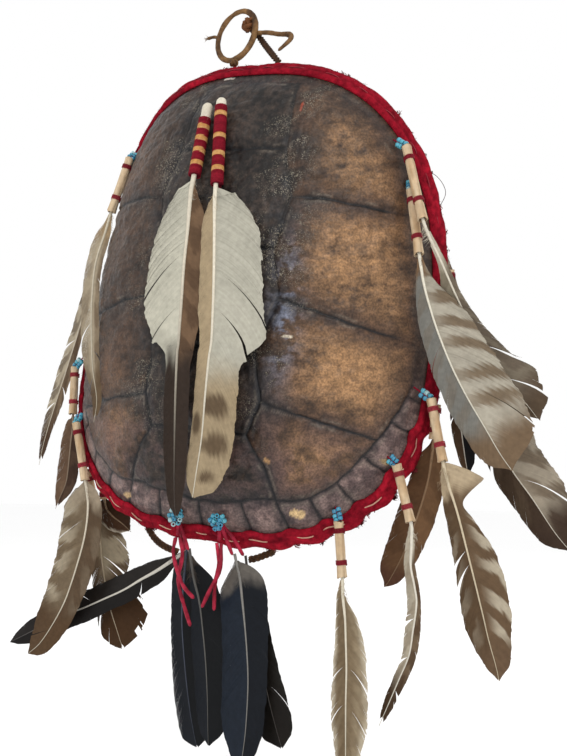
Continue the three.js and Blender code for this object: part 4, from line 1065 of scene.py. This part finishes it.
# Colours of a vane at shares along it and across it
def vane_paint(coat, side, t, s, seed):
    slow = cloud(seed + 1, t * 7, s * 1.5, 3)
    paint = np.broadcast_to(hue(coat["sides"][side > 0]), (*t.shape, 3))
    paint = mixed(paint, paint * 0.75, 0.4 * ramp(-0.3, 0.9, cloud(seed + 2, t * 12, s * 2)))
    if "bars" in coat:
        count, colour, *strengths = coat["bars"]
        first, last = coat.get("span", (0, 1))
        wave = np.sin(2 * math.pi * (count * (t - coat.get("slant", 0.06) * s) + 0.3 * slow))
        reach = ramp(0.1, 0.65, s) if coat.get("bar_edge") else 0.5 + 0.5 * ramp(0, 0.35, s)
        inside = ramp(first - 0.06, first + 0.06, t) * (1 - ramp(last - 0.06, last + 0.06, t))
        paint = mixed(paint, colour, strengths[side > 0] * reach * inside * ramp(-0.2, 0.35, wave))
    if "inner" in coat:
        colour, reach = coat["inner"]
        paint = mixed(paint, colour, 0.7 * (1 - ramp(0.3 * reach, reach, s + 0.1 * slow)))
    if "edge" in coat:
        colour, start = coat["edge"]
        paint = mixed(paint, colour, 0.85 * ramp(start, 1, s + 0.15 * slow))
    if "tip" in coat:
        colour, start = coat["tip"]
        paint = mixed(paint, colour, ramp(start - 0.06, start + 0.08, t + 0.03 * slow))
    if "base" in coat:
        colour, end = coat["base"]
        paint = mixed(paint, colour, 1 - ramp(0.5 * end, end, t + 0.04 * slow))
    for at, place, which, size in coat.get("blotches", ()):
        if which == side:
            far = np.hypot((t - at) / size, (s - place) / 0.42) + 0.3 * slow
            paint = mixed(paint, BLOTCH_BROWN, 0.8 * (1 - ramp(0.6, 1.2, far)))
    return paint


# One vane as barbs side by side that lean towards the tip, cling together in clumps and part at the splits
def vane(shape, coat, side, at, line, start, seed):
    dice = np.random.default_rng(seed)
    length = at[-1]
    share = (at - start) / (length - start)
    extra, end = coat.get("fuller", {}).get(side, (0, 1))
    fuller = extra * ramp(0.02, 0.14, share) * (1 - ramp(end - 0.1, end + 0.1, share))
    position, widths = line[:, :3], np.maximum(line[:, 3 if side < 0 else 4], 0) + fuller
    tangent = unit(np.gradient(position, axis=0))
    across = unit(np.cross((0, -1, 0), tangent)) * side
    facing = unit(np.cross(tangent, across)) * side
    ends = np.arange(start + 0.5, length + 0.5, BARB_PITCH)
    ends = ends[np.interp(ends, at, widths) > THINNEST_VANE]
    fray = coat.get("fray", 0.04)
    clump = np.append(0, np.cumsum(dice.uniform(0, 1, len(ends) - 1) < 1 / CLUMP_BARBS))
    short = (1 - fray * dice.uniform(0, 1, clump[-1] + 1) ** 2)[clump]
    astray = (1.6 * fray * dice.normal(0, 1, clump[-1] + 1))[clump]
    within = np.array([np.mean(ends[clump == number]) for number in range(clump[-1] + 1)])[clump]
    s = np.linspace(0, 1, BARB_STEPS + 1)[None]
    shift = astray[:, None] * s ** 3 + (within - ends)[:, None] * min(0.7, 0.9 * fray) * s ** 4
    for which, place, opening in coat.get("splits", ()):
        if which == side:
            gap = ends - (start + place * (length - start))
            push = np.sign(gap) * 0.5 * opening * np.exp(-np.abs(gap) / (4 * opening))
            shift = shift + push[:, None] * s ** 1.6

    def read(values, along):
        return np.stack([np.interp(along, at, column) for column in values.T], -1)

    def barbs(offset, lift):
        end = ends + offset * BARB_PITCH
        blunt = np.sqrt(np.clip((length - end) / TIP_ROUNDING, 0.02, 1))
        width = np.interp(end, at, widths) * (1 + 0.03 * wander(seed, end * 0.3)) * blunt
        lean = np.interp(end, [start, 0.5 * (start + length), length], [0.7, 1.1, 1.8])
        root = np.maximum(end - width * lean, 0.97 * start + 0.03 * end)
        cut = s * short[:, None]
        along = root[:, None] + (end - root)[:, None] * cut ** 1.25 + shift
        lateral = width[:, None] * (1 - (1 - cut) ** 1.2)
        pick = np.clip(along, 0, length)
        wave = 0.5 * wander(seed + 5, along * 0.1) * s - VANE_CURL * lateral + lift
        return along, (read(position, pick) + read(tangent, pick) * (along - pick)[..., None]
                       + read(across, pick) * lateral[..., None] + read(facing, pick) * wave[..., None])

    along, near = barbs(-0.56, -0.05)
    _, far = barbs(0.56, 0.05)
    count, steps = along.shape
    cell = net(steps, 2)
    faces = (np.arange(count)[:, None, None] * steps * 2 + cell[None]).reshape(-1, 4)
    t = (along - start) / (length - start)
    paint = vane_paint(coat, side, t, np.broadcast_to(s, t.shape), seed)
    shades = 0.022 * dice.normal(0, 1, (count, 1, 1)) + 0.014 * dice.normal(0, 1, (count, steps, 1))
    paint = paint * (1 + shades)
    shape.add(np.stack([near, far], 2), faces, np.repeat(np.clip(paint, 0, 1).reshape(-1, 3), 2, axis=0))


# Loose down at the foot of the vanes
def down(shape, coat, at, line, start, seed):
    dice = np.random.default_rng(seed)
    colour = hue(coat.get("base", coat["sides"])[0])
    for _ in range(coat.get("down", 40)):
        here = start + dice.uniform(1, 14)
        root = np.array([np.interp(here, at, column) for column in line.T])[:3]
        side = dice.choice((-1, 1))
        reach = min(7.0, 0.6 + 0.5 * (here - start))
        tip = root + (side * dice.uniform(0.4, 1) * reach, dice.normal(0, 1.0), -dice.uniform(2, 8))
        fibre(shape, root, tip, 0.12, colour * dice.uniform(0.8, 1.15))


def feather(node, coat, quill_end, seed, peg=0.0):
    shape = Shape()
    rows = coat["rows"]
    raw = smooth([(*quill_end, QUILL_RADIUS, QUILL_RADIUS), *rows], 24)
    at, line = even(raw, 0.5)
    first = np.linalg.norm(line[:, :3] - np.array(rows[0][:3]), axis=1)
    start = at[int(np.argmin(first))]
    for side in (-1, 1):
        vane(shape, coat, side, at, line, start, seed * 10 + side + 2)
    down(shape, coat, at, line, start, seed)
    share = at / at[-1]
    taper = np.interp(share, [0, 0.2, 0.35, 0.7, 1], [1, 0.8, 0.5, 0.35, 0.12])
    radius = coat.get("quill", QUILL_RADIUS) * taper
    if peg:
        rounded = np.sqrt(np.clip(1 - (1 - at / PEG_RADIUS) ** 2, 0.02, 1)) * (at < PEG_RADIUS)
        radius = np.where(at < peg, PEG_RADIUS * np.where(at < PEG_RADIUS, rounded, 1), radius)
    dark = hue(coat.get("shaft_tip", coat["shaft"])) * 0.8
    tone = mixed(coat["shaft"], dark, ramp(0.35, 0.95, share[::2]))
    tone = np.repeat(capped(tone), SHAFT_SIDES, axis=0)
    shape.add(*tube(line[::2, :3] + (0, -0.15, 0), radius[::2], SHAFT_SIDES, 0.85), tone, 1)
    make(shape, [DARK_VANE if coat.get("dark") else VANE, SHAFT], node)


# Hide sleeves with thread bands
SLEEVE_RADIUS = 3.45
BAND_SPOTS = (0.17, 0.74)
BAND_TURNS = 4
BAND_THREAD = 0.42
BAND_RED = ("7e1d2a", "a83c46")
HIDE_PALE = ("e2cbaa", "c3a27c")
LAP_SHADE = "8d6c4c"
HIDE_THICKNESS = 0.7
SLEEVE_SIDES = 28


def sleeve(node, start, end, seed):
    shape = Shape()
    length = np.linalg.norm(end - start)
    share = np.linspace(0, 1, max(12, int(length / 1.2)))
    course = start + np.outer(share, end - start)
    side, upright = across_course(course)
    turn = np.linspace(0, 2 * math.pi, SLEEVE_SIDES)
    lap = np.interp(turn, [0, 2 * math.pi], [0.05, -0.45])
    pinch = sum(0.35 * bell(share * length, spot * length, 2.2) for spot in BAND_SPOTS)
    flare = 0.25 * np.exp(-share * length / 3) + 0.35 * np.exp(-(1 - share) * length / 3)
    uneven = wander(seed, share[:, None] * 6, 3 * np.cos(turn), 3 * np.sin(turn))
    radius = SLEEVE_RADIUS + (flare - pinch)[:, None] + lap + 0.14 * uneven
    ring = spokes(turn + 0.4 + 0.35 * share[:, None], side[:, None], upright[:, None])
    ragged = np.zeros((len(share), len(turn)))
    ragged[0] = 0.5 * wander(seed + 3, 2 * turn)
    ragged[-1] = 0.8 * wander(seed + 4, 2 * turn)
    course = course[:, None] + ragged[..., None] * unit(end - start)
    outer, inner = (course + ring * size[..., None] for size in (radius, radius - HIDE_THICKNESS))
    wall = np.concatenate([outer, inner[::-1]])
    stain = 0.5 + 0.5 * wander(seed + 6, share[:, None] * 4, 2 * np.cos(turn))
    paint = mixed(*HIDE_PALE, np.clip(stain, 0, 1))
    paint = mixed(paint, LAP_SHADE, 0.5 * bell(turn, 0, 0.25))
    # The inside of the hide is painted at 60 % of the outside: painted shade
    both = np.concatenate([paint, paint[::-1] * 0.6]).reshape(-1, 3)
    shape.add(wall, net(len(wall), len(turn), True), both)
    half = BAND_TURNS * BAND_THREAD / length
    for spot in BAND_SPOTS:
        low, high = (start + (end - start) * (spot + way * half) for way in (-1, 1))
        coil = winding(low, high, SLEEVE_RADIUS + 0.1, BAND_THREAD, BAND_TURNS)
        shape.add(*coil, mixed(*BAND_RED, rng.uniform(0, 1)), 1)
    make(shape, [HIDE, THREAD], node)


# Glass beads, in strings at the sleeves and in bunches over the lower rim
BEAD_RADIUS = 1.75
BEAD_BORE = 0.38
BEAD_ROUNDING = 0.8
BEAD_SECTION = 12
BEAD_SIDES = 20
STRAND_BEADS = 3
STRAND_APART = 1.7
HOLE_LIFT = 1.8
TURQUOISE = ("4aa3bd", "3f93b4", "57b0c4", "3a86a8")
PALE_BEAD = "a9cdd0"
PALE_SHARE = 0.12


# A rounded ring about an axis
def bead(shape, middle, axis, radius, half, colour):
    axis = unit(axis)
    side = unit(np.cross(axis, (0.2, 1, 0.1)))
    other = np.cross(axis, side)
    bore = BEAD_BORE * radius
    section = circle(BEAD_SECTION)
    out = 0.5 * (radius + bore) + 0.5 * (radius - bore) * bent(np.cos(section), BEAD_ROUNDING)
    along = half * bent(np.sin(section), BEAD_ROUNDING)
    ring = spokes(circle(BEAD_SIDES), side, other)
    points = middle + ring[:, None] * out[:, None] + axis * along[:, None]
    shape.add(points, net(BEAD_SIDES, BEAD_SECTION, True, True), colour)


def bead_colour():
    return PALE_BEAD if rng.uniform() < PALE_SHARE else TURQUOISE[rng.integers(0, len(TURQUOISE))]


# Two strands of beads side by side, from a hole in the shell to a sleeve
def bead_string(node, hole, top):
    shape = Shape()
    start = on_shell(*plan_point(*hole), HOLE_LIFT)
    way = top - start
    thread = start - unit(way) * 1.2 + np.outer(np.linspace(0, 1.15, 8), way)
    shape.add(*tube(thread, 0.6, 6), CRIMSON[0], 1)
    beside = unit(np.cross(way, (0, 1, 0)))
    step = min(3.2, np.linalg.norm(way) / STRAND_BEADS)
    for number in range(STRAND_BEADS):
        for strand in (-1, 1):
            middle = top - unit(way) * step * (number + 0.45 + 0.12 * strand)
            middle = middle + STRAND_APART * strand * beside + rng.normal(0, 0.2, 3)
            bead(shape, middle, way + rng.normal(0, 1.2, 3), BEAD_RADIUS, 0.44 * step, bead_colour())
    make(shape, [BEAD, THREAD], node)


# Bunches of beads over the lower rim: their knots and the ends of their strings
BEAD_BUNCHES = {
    "bead_bunch_left": (
        (-32, -33.8, -384.5), [(-31.2, -24, -409), (-31, -34, -398.2), (-25.3, -28.9, -408)]),
    "bead_bunch_right": (
        (3, -35.8, -387), [(3.5, -36.5, -400.5), (12.6, -33.9, -410), (16, -23.8, -411)]),
}
BUNCH_ROWS = (3, 4, 3, 2)
BUNCH_STEP = 3.3
BUNCH_STRING = 1.35


def bead_bunch(node, knot_place, feet):
    shape = Shape()
    middle = np.asarray(knot_place, float)
    for number, foot in enumerate(feet):
        strip(shape, [middle, 0.5 * (middle + foot) + rng.normal(0, 0.5, 3), foot], BUNCH_STRING, CRIMSON,
              number, 0.9, slot=1)
    for row, count in enumerate(BUNCH_ROWS):
        for number in range(count):
            place = middle + np.array([
                BUNCH_STEP * (number - (count - 1) / 2), -1.6 - rng.uniform(0, 1.4), 4.2 - 2.9 * row])
            place = place + rng.normal(0, 0.45, 3)
            bead(shape, place, rng.normal(0, 1, 3), BEAD_RADIUS, 1.4, bead_colour())
    make(shape, [BEAD, LEATHER], node)


# Thread wraps round the centre quills: red with yellow bands
WRAP_RADIUS = 4.1
WRAP_THREAD = 0.5
BAND_LENGTH = 3.6
WRAP_RED = ("781222", "981e30")
WRAP_YELLOW = ("cf9350", "e2b276")
WRAP_CORE = "641020"


def thread_wrap(node, start, end, bands):
    start, end = np.array([start, end], float)
    shape = Shape()
    length = np.linalg.norm(end - start)
    turns = length / (1.75 * WRAP_THREAD)
    points, faces = winding(start, end, WRAP_RADIUS, WRAP_THREAD, turns, 16)
    share = np.linspace(0, 1, len(points))
    band = np.min(np.abs(share[:, None] - np.array(bands)[None]), axis=1) * length < BAND_LENGTH / 2
    tone = 0.5 + 0.5 * wander(71, share * 60)
    red, yellow = mixed(*WRAP_RED, tone), mixed(*WRAP_YELLOW, tone)
    shape.add(points, faces, np.repeat(np.where(band[:, None], yellow, red), COIL_SIDES, axis=0))
    core = start + np.outer(np.linspace(0, 1, 12), end - start)
    shape.add(*tube(core, WRAP_RADIUS, 14), WRAP_CORE)
    make(shape, [THREAD], node)


# Leather loop, its knot and the frayed stub of the thong that made it
LOOP_HALF_WIDTH = 15.5
LOOP_HALF_HEIGHT = 24
LOOP_TILT = math.radians(18)
LOOP_KNOT = np.array([2.5, -17, -47.2])
LOOP_STUB = [(-14.5, -7, -20), (-19, -8, -18.5), (-25, -8.5, -19)]
STUB_RADIUS = 1.5
STUB_FIBRES = 14
LOOP_STEPS = 160
LOOP_SIDES = 12
KNOT_BROWN = ("4f2c15", "80502c")


def loop():
    shape = Shape()
    tip = np.array([0, -math.sin(LOOP_TILT), -math.cos(LOOP_TILT)])
    side = np.array([1.0, 0, 0])
    flat = np.cross(side, tip)
    centre = np.array([0, 0, THONG_RADIUS]) + tip * LOOP_HALF_HEIGHT
    turn = circle(LOOP_STEPS)
    course = centre + spokes(turn, -LOOP_HALF_HEIGHT * tip, LOOP_HALF_WIDTH * side)
    ahead = unit(np.roll(course, -1, 0) - np.roll(course, 1, 0))
    radial = np.cross(ahead, flat)
    uneven = wander(81, 4 * np.cos(turn), 4 * np.sin(turn))
    twist = circle(LOOP_SIDES) + 0.6 * np.sin(3 * turn)[:, None]
    ring = spokes(twist, 1.05 * radial[:, None], 0.85 * flat)
    thick = 1.1 + 0.14 * uneven + 0.12 * np.cos(turn - 2.2)
    points = course[:, None] + ring * THONG_RADIUS * thick[:, None, None]
    across, along = 3 + 2.5 * np.cos(turn)[:, None], 3 + 2.5 * np.sin(turn)[:, None]
    tone = cloud(82, across, along + 0.5 * np.cos(twist))
    paint = mixed(*THONG_BROWN, np.clip(0.5 + 0.7 * tone, 0, 1))
    shape.add(points, net(LOOP_STEPS, LOOP_SIDES, True, True), paint.reshape(-1, 3))
    knot(shape, LOOP_KNOT, 3.2, 4, THONG_BROWN, 8)
    knot(shape, BRAID_KNOT, 5, 4, KNOT_BROWN, 3)
    strip(shape, LOOP_STUB, STUB_RADIUS, THONG_BROWN, 9, 0.7)
    end = np.array(LOOP_STUB[-1], float)
    for _ in range(STUB_FIBRES):
        frayed = end + (-rng.uniform(1, 3.5), rng.normal(0, 0.8), rng.normal(0, 1.6))
        fibre(shape, end + (1.2, 0, 0) + rng.normal(0, 0.5, 3), frayed, 0.22, THONG_BROWN[1])
    make(shape, [LEATHER], "hanging_loop")


stage()
thongs()
braids()
shell()
binding()
for seed, (node, spec) in enumerate(HUNG_FEATHERS.items()):
    top, foot = np.array(spec["top"], float), np.array(spec["rows"][0][:3], float)
    feather(node, spec, top + QUILL_START * (foot - top), seed + HUNG_SEED)
    sleeve(node.replace("feather", "sleeve"), top, foot, seed + SLEEVE_SEED)
    if "hole" in spec:
        bead_string(node.replace("feather", "beads"), spec["hole"], top)
for seed, (node, spec) in enumerate(TIED_FEATHERS.items()):
    foot, following = np.array([row[:3] for row in spec["rows"][:2]], float)
    feather(node, spec, foot - unit(following - foot) * BARE_QUILL, seed + TIED_SEED)
for seed, (node, spec) in enumerate(CENTRE_FEATHERS.items()):
    covered = np.linalg.norm(np.subtract(spec["wrap"][0], spec["quill_end"])) + 4
    feather(node, spec, spec["quill_end"], seed + CENTRE_SEED, covered)
    thread_wrap(node.replace("feather", "thread_wrap"), *spec["wrap"], spec["bands"])
for node, (knot_place, feet) in BEAD_BUNCHES.items():
    bead_bunch(node, knot_place, feet)
loop()
